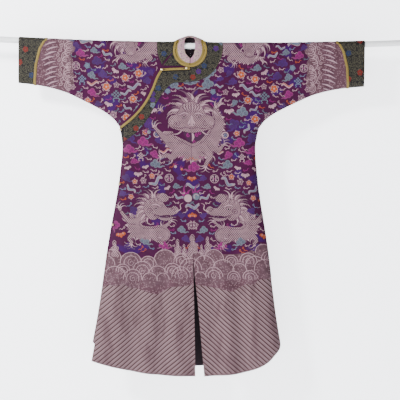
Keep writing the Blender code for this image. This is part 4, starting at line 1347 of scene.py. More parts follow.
@dataclass
class Bands:
    """The dark bands round the neck and on the lap, with their gold braid."""

    band_gap: float = 0.0005
    braid_gap: float = 0.0010
    braid_width: float = 0.0095
    braid_crown: float = 0.0004
    opening_top: tuple[float, float] = (0.0720, 0.0540)
    opening_end: tuple[float, float] = (0.1190, 0.1150)
    opening_width: float = 0.0016
    laid: dict[str, tuple[Piece, Array, Array]] = field(default_factory=dict)

    @property
    def band_lift(self) -> float:
        """Height of a band's middle over its panel's middle."""
        return FORM.wall / 2 + self.band_gap + FORM.band_wall / 2

    @property
    def braid_lift(self) -> float:
        """Height of the braid's middle over its panel's middle."""
        return self.band_lift + FORM.band_wall / 2 + self.braid_gap + FORM.braid_wall / 2

    def lay(self, name: str, places: Array, flip: bool, level: Array, thickness: float, finish: Finish) -> None:
        """Lays a strip of cloth on the form, and keeps it with its flat places.

        Args:
            name: the node that the strip stands for.
            places: flat places in rows.
            flip: turns the strip's faces over.
            level: height of each place, in one row.
            thickness: the strip's thickness.
            finish: its finish.
        """
        rows, columns = places.shape[:2]
        flat = places.reshape(-1, 2)
        quads = grid_quads(rows, columns, flip)
        points, out = FORM.drape(flat), FORM.outwards(flat)
        piece = wall(f"{name}_strip", flat, points, quads, thickness, level, finish, finish, out)
        self.laid[name] = (piece, flat, quads)

    def polar(self, side: int, degrees: Array, radius: Array) -> Array:
        """Flat places of a ring's part, from degrees and radii of one shape.

        Args:
            side: 1 for the wearer's left, or -1.
            degrees: angles up from the neck's side.
            radius: distances from the neck's middle.

        Returns:
            Flat places (x, s).
        """
        a = np.radians(degrees)
        x = np.maximum(radius * np.cos(a), 0.0004)
        return np.stack([side * x, FORM.neck_drop - radius * np.sin(a)], axis=-1)

    def neck_bands(self) -> None:
        """The dark band round the neck, in its three cuts."""
        inner = FORM.neck_radius + 0.0006
        shares = np.linspace(0, 1, 15)
        degrees = np.repeat(np.linspace(-90, 90, 91)[:, None], 15, axis=1)
        outer = band_radius(degrees)
        left = self.polar(1, degrees, inner + (outer - inner) * shares)
        flat = left.reshape(-1, 2)
        level = body_level(flat) + self.band_lift
        self.lay("neck_band_left", left, False, level, FORM.band_wall, Finish.BLACK)
        low = np.interp(inner + (RIGHT_RADII[1] - inner) * shares, [inner, *RIGHT_RADII], RIGHT_LOW_ENDS)
        degrees = low + (90 - low) * np.linspace(0, 1, 61)[:, None]
        outer = band_radius(degrees)
        right = self.polar(-1, degrees, inner + (outer - inner) * shares)
        level = body_level(right.reshape(-1, 2)) + self.band_lift
        self.lay("neck_band_right", right, True, level, FORM.band_wall, Finish.BLACK)
        downs = np.linspace(0.0570, 0.1070, 22)
        hole = np.sqrt(np.maximum(inner**2 - (downs - FORM.neck_drop) ** 2, 0.012**2))
        across, down = zip(self.opening_top, self.opening_end)
        stop = np.interp(downs, down, across)
        x = hole[:, None] + (stop - self.opening_width - hole)[:, None] * np.linspace(0, 1, 12)
        under = np.stack([-x, np.repeat(downs[:, None], 12, axis=1)], axis=-1)
        level = body_level(under.reshape(-1, 2)) + self.band_lift
        self.lay("neck_band_under", under, False, level, FORM.band_wall, Finish.BLACK)

    def neck_braid(self) -> None:
        """The gold braid round the neck's edge."""
        radius = FORM.neck_radius - 0.0004 + self.braid_width * np.linspace(0, 1, BRAID_PLACES)
        a = np.radians(np.linspace(-90, 270, 181))[:, None]
        places = np.stack([radius * np.cos(a), FORM.neck_drop - radius * np.sin(a)], axis=-1)
        flat = places.reshape(-1, 2)
        level = body_level(flat) * smooth(-flat[:, 0] / 0.05) + self.braid_lift
        self.lay("neck_braid", places, False, level + self.crown(len(places)), FORM.braid_wall, Finish.GOLD)

    def crown(self, rows: int) -> Array:
        """The braid's rounded back, across a strip of a number of rows."""
        return np.tile(self.braid_crown * np.sin(np.linspace(0, math.pi, BRAID_PLACES)), rows)

    def lap_line(self, top_steps: int, curve_steps: int, low: float) -> Array:
        """Points along the lap's free edge, from the centre to the armpit and down to a height.

        Args:
            top_steps: steps along the top edge.
            curve_steps: steps down to the armpit.
            low: the height that it ends at.

        Returns:
            Points (x, height).
        """
        parts = [curve_through(LAP_TOP_TABLE, top_steps), curve_through(LAP_EDGE_TABLE[:6], curve_steps)[1:]]
        if low < -0.345:
            heights = np.linspace(-0.3450, low, 7)
            parts.append(np.column_stack([FORM.lap_edge(heights), heights]))
        return np.vstack(parts)

    def lap_bands(self) -> None:
        """The dark band and the gold braid along the lap's free edge."""
        edge = self.lap_line(24, 60, -0.3900)
        lower = curve_through(BAND_LOWER_TABLE, len(edge) - 1)
        near = edge + np.array([0.0006, -0.0006])
        near[:, 0] = np.minimum(near[:, 0], -0.0004)
        places = near[:, None] + (lower - near)[:, None] * np.linspace(0, 1, 13)[None, :, None]
        level = FORM.lap_level(places[..., 0].ravel(), places[..., 1].ravel()) + self.band_lift
        places[..., 1] = FORM.s_of(places[..., 1])
        self.lay("lap_band", places, True, level, FORM.band_wall, Finish.BLACK)
        edge = self.lap_line(40, 100, -0.3400)
        _, inwards = along_and_left(edge)
        steps = (0.0008 + self.braid_width * np.linspace(0, 1, BRAID_PLACES))[None, :, None]
        places = edge[:, None] + inwards[:, None] * steps
        level = FORM.lap_level(places[..., 0].ravel(), places[..., 1].ravel()) + self.braid_lift
        places[..., 1] = FORM.s_of(places[..., 1])
        level += self.crown(len(edge))
        self.lay("lap_braid", places, True, level, FORM.braid_wall, Finish.GOLD)

    def build(self) -> None:
        """Makes every band and braid."""
        self.neck_bands()
        self.neck_braid()
        self.lap_bands()


@dataclass
class Cuffs:
    """The shaped dark cuffs and the gold braid over their seams."""

    braid_half: float = 0.005
    braid_crown: float = 0.0004
    laid: dict[str, tuple[Piece, Array, Array]] = field(default_factory=dict)

    def tube(self, name: str, end: float, near: float, far: float | None, across: int, gold: bool) -> None:
        """Makes a closed tube round the sleeve, and keeps it with its flat places.

        Args:
            name: the node that the tube stands for.
            end: x of the sleeve's end.
            near: where it starts, out from the cuff's seam.
            far: where it ends, out from the cuff's seam, or None for the sleeve's end.
            across: its number of steps along the sleeve.
            gold: makes it a strip of gold braid on the cloth.
        """
        side = math.copysign(1, end)
        shares = np.linspace(0, 1, across + 1)
        order = [(1, r) for r in range(ARM_ROW + 1)] + [(-1, r) for r in range(ARM_ROW - 1, 0, -1)]
        places = []
        for sign, row in order:
            x = np.full(across + 1, end)
            for _ in range(4):
                s = down_sleeve(row, x)
                line = FORM.cuff_line(s, end)
                stop = np.full(across + 1, end) if far is None else line + side * far
                x = (line + side * near) * (1 - shares) + stop * shares
            places.append(np.column_stack([x, sign * s]))
        places = np.array(places)
        points = FORM.drape(places)
        points[[0, ARM_ROW], :, 1] = 0.0
        count, wide = len(order), across + 1
        quads = grid_quads(count, wide, end > 0)
        a = (count - 1) * wide + np.arange(across)
        b = np.arange(across)
        close = [a, b, b + 1, a + 1] if end > 0 else [a, a + 1, b + 1, b]
        quads = np.vstack([quads, np.column_stack(close)])
        flat, points = places.reshape(-1, 2), points.reshape(-1, 3)
        thickness, level, inside, outside = FORM.wall, 0.0, Finish.LINING, Finish.BLACK
        if gold:
            thickness, inside, outside = FORM.braid_wall, Finish.GOLD, Finish.GOLD
            over = FORM.wall / 2 + 0.0006 + FORM.braid_wall / 2 + self.braid_crown * np.sin(math.pi * shares)
            level = np.tile(over, count)
        piece = wall(f"{name}_tube", flat, points, quads, thickness, level, outside, inside)
        self.laid[name] = (piece, flat, quads)

    def build(self) -> None:
        """Makes both cuffs and their braid."""
        for side, end in (("left", FORM.left_end), ("right", FORM.right_end)):
            self.tube(f"cuff_{side}", end, FORM.seam, None, 22, False)
            self.tube(f"cuff_braid_{side}", end, -self.braid_half, self.braid_half, BRAID_PLACES - 1, True)


@dataclass
class NeckFacing:
    """The pale neck facing: it lies in from the neckline in front and stands up at the back."""

    across: int = 12
    bound_rows: int = 3
    step: float = 3.0
    bulge: float = 0.0016

    def build(self) -> tuple[Piece, Array, Array]:
        """Makes the facing.

        Returns:
            The piece, its flat places and its quads.
        """
        angles = np.arange(-88.5, 268.6, self.step)
        a = np.radians(angles)
        radius = FORM.neck_radius - 0.0012
        flat = np.column_stack([radius * np.cos(a), FORM.neck_drop - radius * np.sin(a)])
        level = body_level(flat) * smooth(-flat[:, 0] / 0.05)
        base = FORM.surface(flat, level)
        base[:, 2] += FORM.facing_stand * smooth((np.sin(a) - 0.25) / 0.5)
        at = column(FACING_RIM, 0)
        rim = np.column_stack([np.interp(angles, at, column(FACING_RIM, i)) for i in (1, 2, 3)])
        shares = np.linspace(0, 1, self.across + 1)[None, :, None]
        points = base[:, None, :] * (1 - shares) + rim[:, None, :] * shares
        out = np.zeros_like(points)
        out[..., 1] = -1.0
        out[..., 2] = np.clip((points[..., 2] - 0.010) / 0.02, 0, 1)
        waves = 1 + 0.35 * np.sin(np.radians(angles) * 7.0)[:, None, None]
        points = points + self.bulge * waves * np.sin(np.pi * shares) * unit(out)
        quads = grid_quads(len(angles), self.across + 1, True)
        round_ring = np.linalg.norm(np.diff(points, axis=0, prepend=points[:1]), axis=2).cumsum(axis=0)
        round_ring -= round_ring[-1:] / 2
        in_from_edge = np.linalg.norm(np.diff(points, axis=1, prepend=points[:, :1]), axis=2).cumsum(axis=1)
        spread = np.stack([round_ring, in_from_edge], axis=-1).reshape(-1, 2)
        points = points.reshape(-1, 3)
        piece = wall("facing_brocade", spread, points, quads, FORM.facing_wall, 0.0, Finish.FACING, Finish.GOLD)
        rows = np.arange(len(quads)) % self.across
        bound = (rows < self.bound_rows) & (np.sin(a[np.arange(len(quads)) // self.across]) < 0.6)
        chosen = np.zeros(len(piece.data.polygons), np.int32)
        chosen[: len(quads)] = bound
        piece.data.polygons.foreach_set("material_index", chosen)
        return piece, spread, quads


@dataclass
class Rod:
    """The round hanging rod, painted white and bowed a little, with softly broken ends."""

    sides: int = 64
    stations: int = 73
    bevel: float = 0.0010

    def build(self) -> Piece:
        """Makes the rod.

        Returns:
            The rod.
        """
        ends = [(-FORM.rod_half, FORM.rod_radius - self.bevel), (-FORM.rod_half + self.bevel, FORM.rod_radius)]
        middle = [(x, FORM.rod_radius) for x in np.linspace(-FORM.rod_half, FORM.rod_half, self.stations)[1:-1]]
        profile = [*ends, *middle, *[(-x, r) for x, r in reversed(ends)]]
        turn = np.linspace(0, 2 * math.pi, self.sides, endpoint=False)
        rings = []
        for x, radius in profile:
            up = radius * np.cos(turn) + float(FORM.rise(x))
            rings.append(np.column_stack([np.full(self.sides, x), radius * np.sin(turn), up]))
        faces = ring_faces(len(rings), self.sides)
        return face_out(make_piece("rod_painted", np.vstack(rings), faces, [Finish.PAINT], sharp=40.0))


@dataclass
class Fastening:
    """A gilt ball button on its foot, held in a twisted cord loop whose legs are sewn to the lap."""

    name: str
    x: float
    z: float
    level: float
    legs: tuple[float, float]
    ball_radius: float = 0.0050
    ball_height: float = 0.0078
    groove: float = 0.03
    steps: int = 28
    foot_radius: float = 0.0030
    neck_radius: float = 0.0012
    cord_radius: float = 0.0007
    loop_radius: float = 0.0023
    loop_height: float = 0.0020
    leg_gap: float = 0.00095
    twist: float = 0.0034
    stations: tuple = ((0.0145, 0.00100), (0.0095, 0.00110), (0.0050, 0.00165))
    cord_sides: int = 12

    def seat(self, x: float, s: float, level: float) -> tuple[Array, Array]:
        """A point over the cloth and the outward direction there.

        Args:
            x: place across.
            s: place down the cloth.
            level: height over the form.

        Returns:
            The point and the direction.
        """
        place = np.array([[x, s]])
        out = FORM.outwards(place)[0]
        return FORM.drape(place)[0] + out * level, out

    @property
    def over(self) -> float:
        """The foot's height over the form."""
        return self.level + float(FORM.lap_level(np.array([self.x]), np.array([self.z]))[0])

    def button(self) -> Piece:
        """Turns the ball, its neck and its foot about one axis.

        Returns:
            The button.
        """
        profile = [(0.0, 0.0), (self.foot_radius - 0.0003, 0.0), (self.foot_radius, 0.0003)]
        profile += [(self.foot_radius - 0.0002, 0.0007), (self.neck_radius + 0.0003, 0.0010)]
        profile += [(self.neck_radius, 0.0016), (self.neck_radius, 0.0031)]
        for degrees in np.linspace(-62, 80, 15):
            a = math.radians(degrees)
            across = self.ball_radius * (1 - self.groove * math.exp(-((degrees / 5.0) ** 2)))
            profile.append((across * math.cos(a), self.ball_height + self.ball_radius * math.sin(a)))
        profile.append((0.0, self.ball_height + self.ball_radius))
        made = bmesh.new()
        verts = [made.verts.new((r, 0, h)) for r, h in profile]
        edges = [made.edges.new(pair) for pair in zip(verts, verts[1:])]
        turned = {"cent": (0, 0, 0), "axis": (0, 0, 1), "angle": 2 * math.pi, "steps": self.steps}
        bmesh.ops.spin(made, geom=verts + edges, use_merge=True, **turned)
        bmesh.ops.remove_doubles(made, verts=made.verts, dist=0.00001)
        bmesh.ops.recalc_face_normals(made, faces=made.faces)
        foot, out = self.seat(self.x, float(FORM.s_of(self.z)), self.over)
        turn = Vector(out).to_track_quat("Z", "Y").to_matrix().to_4x4()
        bmesh.ops.transform(made, matrix=Matrix.Translation(Vector(foot)) @ turn, verts=made.verts)
        mesh = bpy.data.meshes.new(f"ball_button_{self.name}")
        made.to_mesh(mesh)
        made.free()
        mesh.materials.append(Finish.BRASS.material())
        mesh.shade_smooth()
        mesh.set_sharp_from_angle(angle=math.radians(60))
        return link(mesh.name, mesh)

    def loop(self) -> Piece:
        """Lays the cord: up one leg, round the button's neck and back down the other.

        Returns:
            The loop.
        """
        s = float(FORM.s_of(self.z))
        foot, out = self.seat(self.x, s, self.over)
        ahead, _ = self.seat(self.x + 0.004 * self.legs[0], s - 0.004 * self.legs[1], self.over)
        forward = ahead - foot
        forward = unit(forward - out * forward.dot(out))
        aside = np.cross(out, forward)
        out_leg, back_leg = [], []
        for reach, height in self.stations:
            point, _ = self.seat(self.x + reach * self.legs[0], s - reach * self.legs[1], self.over + height)
            out_leg.append(point + aside * self.leg_gap)
            back_leg.append(point - aside * self.leg_gap)
        a = np.radians(np.arange(50, 311, 37))[:, None]
        ring = foot + (forward * np.cos(a) + aside * np.sin(a)) * self.loop_radius + out * self.loop_height
        path = curve_through([*out_leg, *ring, *back_leg[::-1]], 84)
        along = unit(np.gradient(path, axis=0))
        up = unit(out - along * (along @ out)[:, None])
        beside = np.cross(along, up)
        length = np.concatenate([[0], np.cumsum(np.linalg.norm(np.diff(path, axis=0), axis=1))])
        sides = self.cord_sides
        turns = np.linspace(0, 2 * math.pi, sides, endpoint=False)
        phase = 2 * (turns[None, :] - 2 * math.pi * length[:, None] / self.twist)
        radius = self.cord_radius * (1 + 0.16 * np.cos(phase))
        points = (
            path[:, None]
            + up[:, None] * (radius * np.cos(turns))[..., None]
            + beside[:, None] * (radius * np.sin(turns))[..., None]
        ).reshape(-1, 3)
        faces = ring_faces(len(path), sides)
        return face_out(make_piece(f"cord_loop_{self.name}", points, faces, [Finish.CORD], sharp=80.0))


BANDS = Bands()
ON_BRAID = BANDS.braid_lift + FORM.braid_wall / 2 + 0.0006
ON_BAND = BANDS.band_lift + FORM.band_wall / 2 + 0.0026
ON_LAP = FORM.wall / 2 + 0.0006
FASTENINGS = (
    Fastening("neck", -0.0140, -0.0965, ON_BRAID, (-1.0, -0.06)),
    Fastening("corner", -0.1150, -0.1040, ON_BRAID, (0.95, 0.10)),
    Fastening("armpit", -0.2770, -0.3520, ON_BAND, (0.90, 0.30)),
    Fastening("side_upper", -0.2800, -0.5800, ON_LAP, (1.0, 0.0)),
    Fastening("side_lower", -0.3060, -0.7500, ON_LAP - 0.0007, (1.0, 0.0)),
)


# Width in millimetres of the darker line round a drawn shape.
RIM = 1.7
# The silks that the drawings name most.
PALE, MAUVE, DRAGON, PLUM = Finish.PALE, Finish.MAUVE, Finish.DRAGON, Finish.OUTLINE
MAGENTA, VIOLET, GREY, BLUE, ORANGE = Finish.MAGENTA, Finish.VIOLET, Finish.GREY, Finish.BLUE, Finish.ORANGE


def around(x: float, y: float, radius: Array | float, a: Array) -> Array:
    """Places round a middle, at angles in radians."""
    return np.column_stack([x + radius * np.cos(a), y + radius * np.sin(a)])


@dataclass
class Sketch:
    """Flat shapes in millimetres, y up. Each is a set of triangles with a finish and a layer of the weave."""

    shapes: list[tuple[Array, Finish, int]] = field(default_factory=list)

    def lay(self, corners: Array, finish: Finish, layer: int) -> None:
        """Adds triangles."""
        self.shapes.append((np.asarray(corners, float).reshape(-1, 3, 2), finish, layer))

    def place(
        self, other: "Sketch", x: float, y: float, scale: float = 1, turn: float = 0, flip: bool = False
    ) -> None:
        """Adds a copy of another sketch.

        Args:
            other: the sketch.
            x: where its origin goes, across.
            y: where its origin goes, up.
            scale: its size.
            turn: degrees anticlockwise.
            flip: mirrors it left to right first.
        """
        a = math.radians(turn)
        matrix = scale * np.array([[math.cos(a), -math.sin(a)], [math.sin(a), math.cos(a)]])
        matrix = matrix @ np.diag([-1.0 if flip else 1.0, 1.0])
        for corners, finish, layer in other.shapes:
            self.lay(corners @ matrix.T + (x, y), finish, layer)

    def strip(self, line: Array, half: Array, finish: Finish, layer: int, shift: Array | float = 0.0) -> None:
        """Adds a strip along a line, half as wide as given on each side of it, and shifted sideways.

        Args:
            line: its middle line.
            half: half its width at each point.
            finish: its silk.
            layer: its layer.
            shift: how far it is moved to the left of the line.
        """
        _, side = along_and_left(line)
        shift = np.broadcast_to(shift, len(line))
        left, right = line + side * (shift + half)[:, None], line + side * (shift - half)[:, None]
        a, b, c, d = left[:-1], left[1:], right[1:], right[:-1]
        self.lay(np.concatenate([np.stack([a, d, c], 1), np.stack([a, c, b], 1)]), finish, layer)

    def stroke(
        self, points: Table, widths: Sequence[float], finish: Finish, layer: int = 2, rim: Finish | None = None
    ) -> None:
        """Adds a tapering line through points, with a darker rim where one is named.

        Args:
            points: places that it goes through.
            widths: widths spread evenly along it.
            finish: its silk.
            layer: its layer.
            rim: the silk of its rim.
        """
        length = np.linalg.norm(np.diff(points, axis=0), axis=1).sum()
        count = int(np.clip(length / 5, 5, 60))
        line = curve_through(points, count)
        half = np.interp(np.linspace(0, 1, count + 1), np.linspace(0, 1, len(widths)), widths) / 2
        if rim:
            self.strip(line, half + RIM, rim, layer - 1)
        self.strip(line, half, finish, layer)

    def blob(
        self, points: Table, finish: Finish, layer: int = 2, rim: Finish | None = None, steps: int = 28
    ) -> None:
        """Adds a filled smooth outline through points, with a rim drawn on its edge where one is named.

        Args:
            points: places round its edge.
            finish: its silk.
            layer: its layer.
            rim: the silk of its rim.
            steps: number of steps round it.
        """
        line = curve_through(points, steps, closed=True)
        found = tessellate_polygon([[Vector((*p, 0)) for p in line[:-1]]])
        self.lay(line[np.array(found)], finish, layer)
        if rim:
            self.strip(line, np.full(len(line), RIM / 2), rim, layer + 1)

    def disc(self, x: float, y: float, radius: float, finish: Finish, layer: int = 2, sides: int = 14) -> None:
        """Adds a round spot.

        Args:
            x: its middle, across.
            y: its middle, up.
            radius: its radius.
            finish: its silk.
            layer: its layer.
            sides: number of its sides.
        """
        a = np.linspace(0, 2 * math.pi, sides + 1)
        rim = around(x, y, radius, a)
        middle = np.broadcast_to([x, y], (sides, 2))
        self.lay(np.stack([middle, rim[:-1], rim[1:]], 1), finish, layer)

    def arc(
        self, x: float, y: float, radius: float, start: float, stop: float, width: float, finish: Finish,
        layer: int = 3,
    ) -> None:
        """Adds part of a ring between two angles in degrees."""
        a = np.radians(np.linspace(start, stop, max(4, int(abs(stop - start) / 20)) + 1))
        self.strip(around(x, y, radius, a), width / 2 + 0 * a, finish, layer)

    def curl(
        self, x: float, y: float, radius: float, start: float, turns: float, width: float, finish: Finish,
        layer: int = 3,
    ) -> None:
        """Adds a spiral that winds in from an angle; a negative number of turns winds clockwise.

        Args:
            x: its middle, across.
            y: its middle, up.
            radius: its outer radius.
            start: the angle that it starts at.
            turns: how often it winds.
            width: its width at the start.
            finish: its silk.
            layer: its layer.
        """
        t = np.linspace(0, 1, int(12 * abs(turns)) + 4)
        a = math.radians(start) + 2 * math.pi * turns * t
        self.strip(around(x, y, radius * (1 - 0.85 * t), a), width / 2 * (1 - 0.5 * t), finish, layer)

    def flame(
        self, x: float, y: float, angle: float, length: float, width: float, finish: Finish, bend: float
    ) -> None:
        """Adds a flame lock: broad at its foot, bending to a hooked point.

        Args:
            x: its foot, across.
            y: its foot, up.
            angle: its direction in degrees.
            length: its length.
            width: its width at the foot.
            finish: its silk.
            bend: how far it bends, and to which side.
        """
        a = math.radians(angle)
        way, side = np.array([math.cos(a), math.sin(a)]), np.array([-math.sin(a), math.cos(a)])
        start = np.array([x, y])
        steps = ((0, 0), (0.35, 0.16), (0.7, 0.10), (0.92, -0.12), (1.0, -0.30))
        points = [start + way * length * u + side * length * bend * v for u, v in steps]
        self.stroke(points, (width, width * 0.9, width * 0.6, width * 0.3, 0.6), finish, 2, PLUM)

    def claw(self, x: float, y: float, angle: float, size: float, finish: Finish = PALE) -> None:
        """Adds a dragon's open claw: a pad with five hooked fingers.

        Args:
            x: its middle, across.
            y: its middle, up.
            angle: the middle finger's direction.
            size: length of a finger.
            finish: the fingers' silk.
        """
        for k in range(-2, 3):
            length, bend = size * (1.15 - 0.07 * abs(k)), 0.9 if k < 1 else -0.9
            self.flame(x, y, angle + k * 30, length, size * 0.15, finish, bend)
        self.disc(x, y, size * 0.24, DRAGON, 4)

    def serpent(self, points: Sequence, widths: Sequence[float], spines: int) -> None:
        """Adds a dragon's body: scales, a banded belly on one side and spines on the other.

        Args:
            points: its middle line, from the neck to the tail.
            widths: its widths along the line.
            spines: 1 or -1, the side of the line that the spines are on.
        """
        count = 44
        line = curve_through(points, count)
        half = np.interp(np.linspace(0, 1, count + 1), np.linspace(0, 1, len(widths)), widths) / 2
        self.strip(line, half + RIM, PLUM, 1)
        self.strip(line, half, DRAGON, 2)
        self.strip(line, 0 * half + 0.8, PLUM, 4, -spines * half * 0.66)
        along, left = along_and_left(line)
        side = left * spines
        foot = line + side * half[:, None]
        tip = foot[:-1] + side[:-1] * (3 + half[:-1] * 0.28)[:, None] + along[:-1] * 5
        spine = np.stack([foot[:-1], foot[1:], tip], 1)
        self.lay(spine[::2], PALE, 1)
        self.lay(spine[1::2], MAUVE, 1)


def mirrored(points: Sequence[tuple[float, float]]) -> list[tuple[float, float]]:
    """A closed outline from its right half, given from the top down."""
    return [*points, *[(-x, y) for x, y in reversed(points) if abs(x) > 0.01]]


def pearl(finish: Finish) -> Sketch:
    """A flaming pearl.

    Args:
        finish: the pearl's silk.

    Returns:
        The figure.
    """
    made = Sketch()
    made.disc(0, 0, 10, PLUM, 3)
    made.disc(0, 0, 8.6, finish, 4)
    made.arc(0, 0, 5.2, 20, 250, 1.8, PALE, 5)
    for angle in (60, 100, 140):
        made.flame(0, 4, angle, 26 - abs(angle - 100) / 5, 6, MAGENTA, 0.8)
    return made


def cloud(main: Finish, inner: Finish, rim: Finish) -> Sketch:
    """A trefoil cloud with curled lobes and a short wisp, 50 mm wide.

    Args:
        main: the lobes' silk.
        inner: the curls' silk.
        rim: the silk round them.

    Returns:
        The figure.
    """
    made = Sketch()
    lobes = ((-13, 0, 11, 200, 1.3), (13, 0, 11, -20, -1.3), (0, 12, 12, 250, 1.4), (-1, -10, 8, 90, 1.0))
    made.stroke([(-8, -8), (-24, -14), (-36, -8), (-46, -12)], (9, 8, 5, 1), main, 2, rim)
    for x, y, r, *_ in lobes:
        made.disc(x, y, r + 1.5, rim, 1)
    for x, y, r, start, turns in lobes:
        made.disc(x, y, r, main)
        made.curl(x, y, r * 0.62, start, turns, 2.0, inner)
    return made


def blossom(main: Finish, rim: Finish) -> Sketch:
    """A five-lobed flower with curled tendrils between its lobes, 42 mm wide.

    Args:
        main: the lobes' silk.
        rim: the tendrils' silk.

    Returns:
        The figure.
    """
    made = Sketch()
    for degrees in range(18, 378, 72):
        a, b = math.radians(degrees), math.radians(degrees + 36)
        made.disc(9 * math.cos(a), 9 * math.sin(a), 7.4, rim, 1)
        made.disc(9 * math.cos(a), 9 * math.sin(a), 5.8, main, 2, 10)
        made.curl(15 * math.cos(b), 15 * math.sin(b), 5.5, degrees, 1.2, 2.4, rim, 2)
    made.disc(0, 0, 3.4, rim, 3, 8)
    return made


def bat(finish: Finish, inner: Finish) -> Sketch:
    """A bat with spread, scalloped wings, 46 mm wide.

    Args:
        finish: the bat's silk.
        inner: the silk of its markings.

    Returns:
        The figure.
    """
    made = Sketch()
    half = [(0, 12), (5, 10), (12, 14), (22, 10), (24, -2), (18, 0), (14, -8), (9, -3), (5, -10), (0, -14)]
    made.blob(mirrored(half), finish, 2, PLUM, 44)
    for side in (-1, 1):
        made.curl(side * 13, 6, 4.5, 90, side * 1.2, 1.6, inner, 4)
        made.disc(side * 2.6, 5, 1.4, inner, 4, 8)
    return made


def knot(finish: Finish) -> Sketch:
    """An endless knot of crossing cord, with ribbon tails.

    Args:
        finish: the cord's silk.

    Returns:
        The figure.
    """
    made = Sketch()
    for k in (-8, 0, 8):
        for a, b in (((-13 + k, -13 - k), (13 + k, 13 - k)), ((-13 + k, 13 + k), (13 + k, -13 + k))):
            made.stroke([a, b], (3.0, 3.0), finish, 3, PLUM)
    for side in (-1, 1):
        made.arc(side * 17, 0, 6, 90 - side * 150, 90 + side * -30, 3, finish)
        made.stroke([(side * 6, -16), (side * 16, -24), (side * 10, -33), (side * 20, -38)], (4, 5, 4, 1), finish)
    return made


def ribbon(finish: Finish, inner: Finish) -> Sketch:
    """A waving double ribbon, 60 mm long.

    Args:
        finish: the upper ribbon's silk.
        inner: the lower one's.

    Returns:
        The figure.
    """
    made = Sketch()
    for dy, colour in ((0, finish), (-6, inner)):
        points = [(-32, 2 + dy), (-18, 10 + dy), (-4, 0 + dy), (10, -8 + dy), (22, 1 + dy), (34, 8 + dy)]
        made.stroke(points, (1, 4, 4, 5, 4, 1), colour, 2, PALE)
    return made


def roundel() -> Sketch:
    """A disc with a plain key-fret figure.

    Returns:
        The figure.
    """
    made = Sketch()
    made.disc(0, 0, 20, PLUM, 2, 24)
    made.arc(0, 0, 18.2, 0, 360, 2.2, PALE)
    for side in (-1, 1):
        for a, b in (((5, -12), (5, 12)), ((5, 12), (12, 7)), ((12, 7), (12, 0)), ((5, -5), (12, -8))):
            made.stroke([(side * a[0], a[1]), (side * b[0], b[1])], (2.4, 2.4), PALE, 4)
    made.disc(0, 0, 3, MAGENTA, 4, 10)
    return made


def eye(made: Sketch, x: float, y: float, side: int) -> None:
    """Adds a dragon's small eye under its brow; side is 1 where the brow sweeps to the right.

    Args:
        made: the design so far, which grows.
        x: the eye's middle, across.
        y: the eye's middle, up.
        side: 1 where the brow sweeps to the right, or -1.
    """
    for radius, silk, layer in ((9.0, PLUM, 5), (6.6, PALE, 6), (4.2, Finish.BLACK, 7)):
        made.disc(x, y, radius, silk, layer, 10)
    brow = [(x - side * 17, y + 13), (x, y + 17), (x + side * 20, y + 8), (x + side * 28, y + 16)]
    made.stroke(brow, (4, 6, 4, 1), PALE, 6, PLUM)


def mane(made: Sketch, middle: tuple, size: tuple, angles: Array, reach: float) -> None:
    """Adds hooked locks of hair that stand out from an oval.

    Args:
        made: the design so far, which grows.
        middle: the oval's middle.
        size: its half width and half height.
        angles: each lock's direction in degrees.
        reach: length of the longest locks.
    """
    for k, angle in enumerate(angles):
        a = math.radians(angle)
        x, y = middle[0] + size[0] * math.cos(a), middle[1] + size[1] * math.sin(a)
        silk = (PALE, DRAGON, MAUVE)[k % 3]
        length, bend = reach * (0.80 + 0.20 * math.sin(2.4 * k)), 0.9 if angle < 90 else -0.9
        made.flame(x, y, angle, length, reach / 5, silk, bend)


def front_head() -> Sketch:
    """A dragon's head seen from the front, its origin between the eyes.

    Returns:
        The head.
    """
    made = Sketch()
    mane(made, (0, 10), (38, 42), np.linspace(-20, 200, 25), 74)
    mane(made, (0, 6), (40, 34), np.linspace(12, 168, 17), 50)
    face = [(0, 66), (20, 60), (40, 50), (52, 28), (64, 12), (86, 4)]
    face += [(98, -18), (90, -42), (60, -54), (26, -62), (0, -66)]
    made.blob(mirrored(face), DRAGON, 3, PLUM, 64)
    for x in range(-39, 40, 13):
        made.stroke([(x * 0.5, 22), (x * 0.9, 40), (x * 0.8, 60)], (0.8, 2.2, 0.8), PLUM, 4)
        made.stroke([(x * 0.5 + 4, 24), (x * 0.9 + 6, 40), (x * 0.8 + 4, 56)], (1, 3.2, 1), PALE, 4)
    for side in (-1, 1):
        eye(made, side * 31, 1, side)
        made.disc(side * 8, -29, 2.6, PLUM, 7, 8)
        made.curl(side * 58, -27, 12, 90, side * 1.3, 2.2, PLUM, 5)
        made.curl(side * 84, -24, 9, 90, side * 1.2, 2.2, PALE, 5)
        mouth = [(side * x, y) for x, y in ((2, -48), (24, -43), (50, -47), (84, -40))]
        made.stroke(mouth, (2, 2.2, 2.2, 1), PLUM, 5)
        made.stroke([(side * 40, -56), (side * 58, -70), (side * 80, -72)], (5, 5, 1), PALE, 4, PLUM)
    made.blob(mirrored([(0, 10), (7, -8), (15, -24), (11, -34), (0, -37)]), PALE, 6)
    return made


def limbs(made: Sketch, rows: Sequence[tuple], width: float, size: float) -> None:
    """Adds a dragon's limbs, each a line with a claw at (x, y, angle) and two locks at its elbow.

    Args:
        made: the design so far, which grows.
        rows: each limb's line, and its claw's (x, y, angle).
        width: a limb's width at its root.
        size: a claw's size.
    """
    for line, (x, y, angle) in rows:
        made.stroke(line, (width, width * 0.8, width * 0.56, width * 0.42), DRAGON, 3, PLUM)
        made.claw(x, y, angle, size)
        for more, silk in ((70, PALE), (35, MAUVE)):
            made.flame(*line[1], angle + more, size, 7, silk, 0.8)


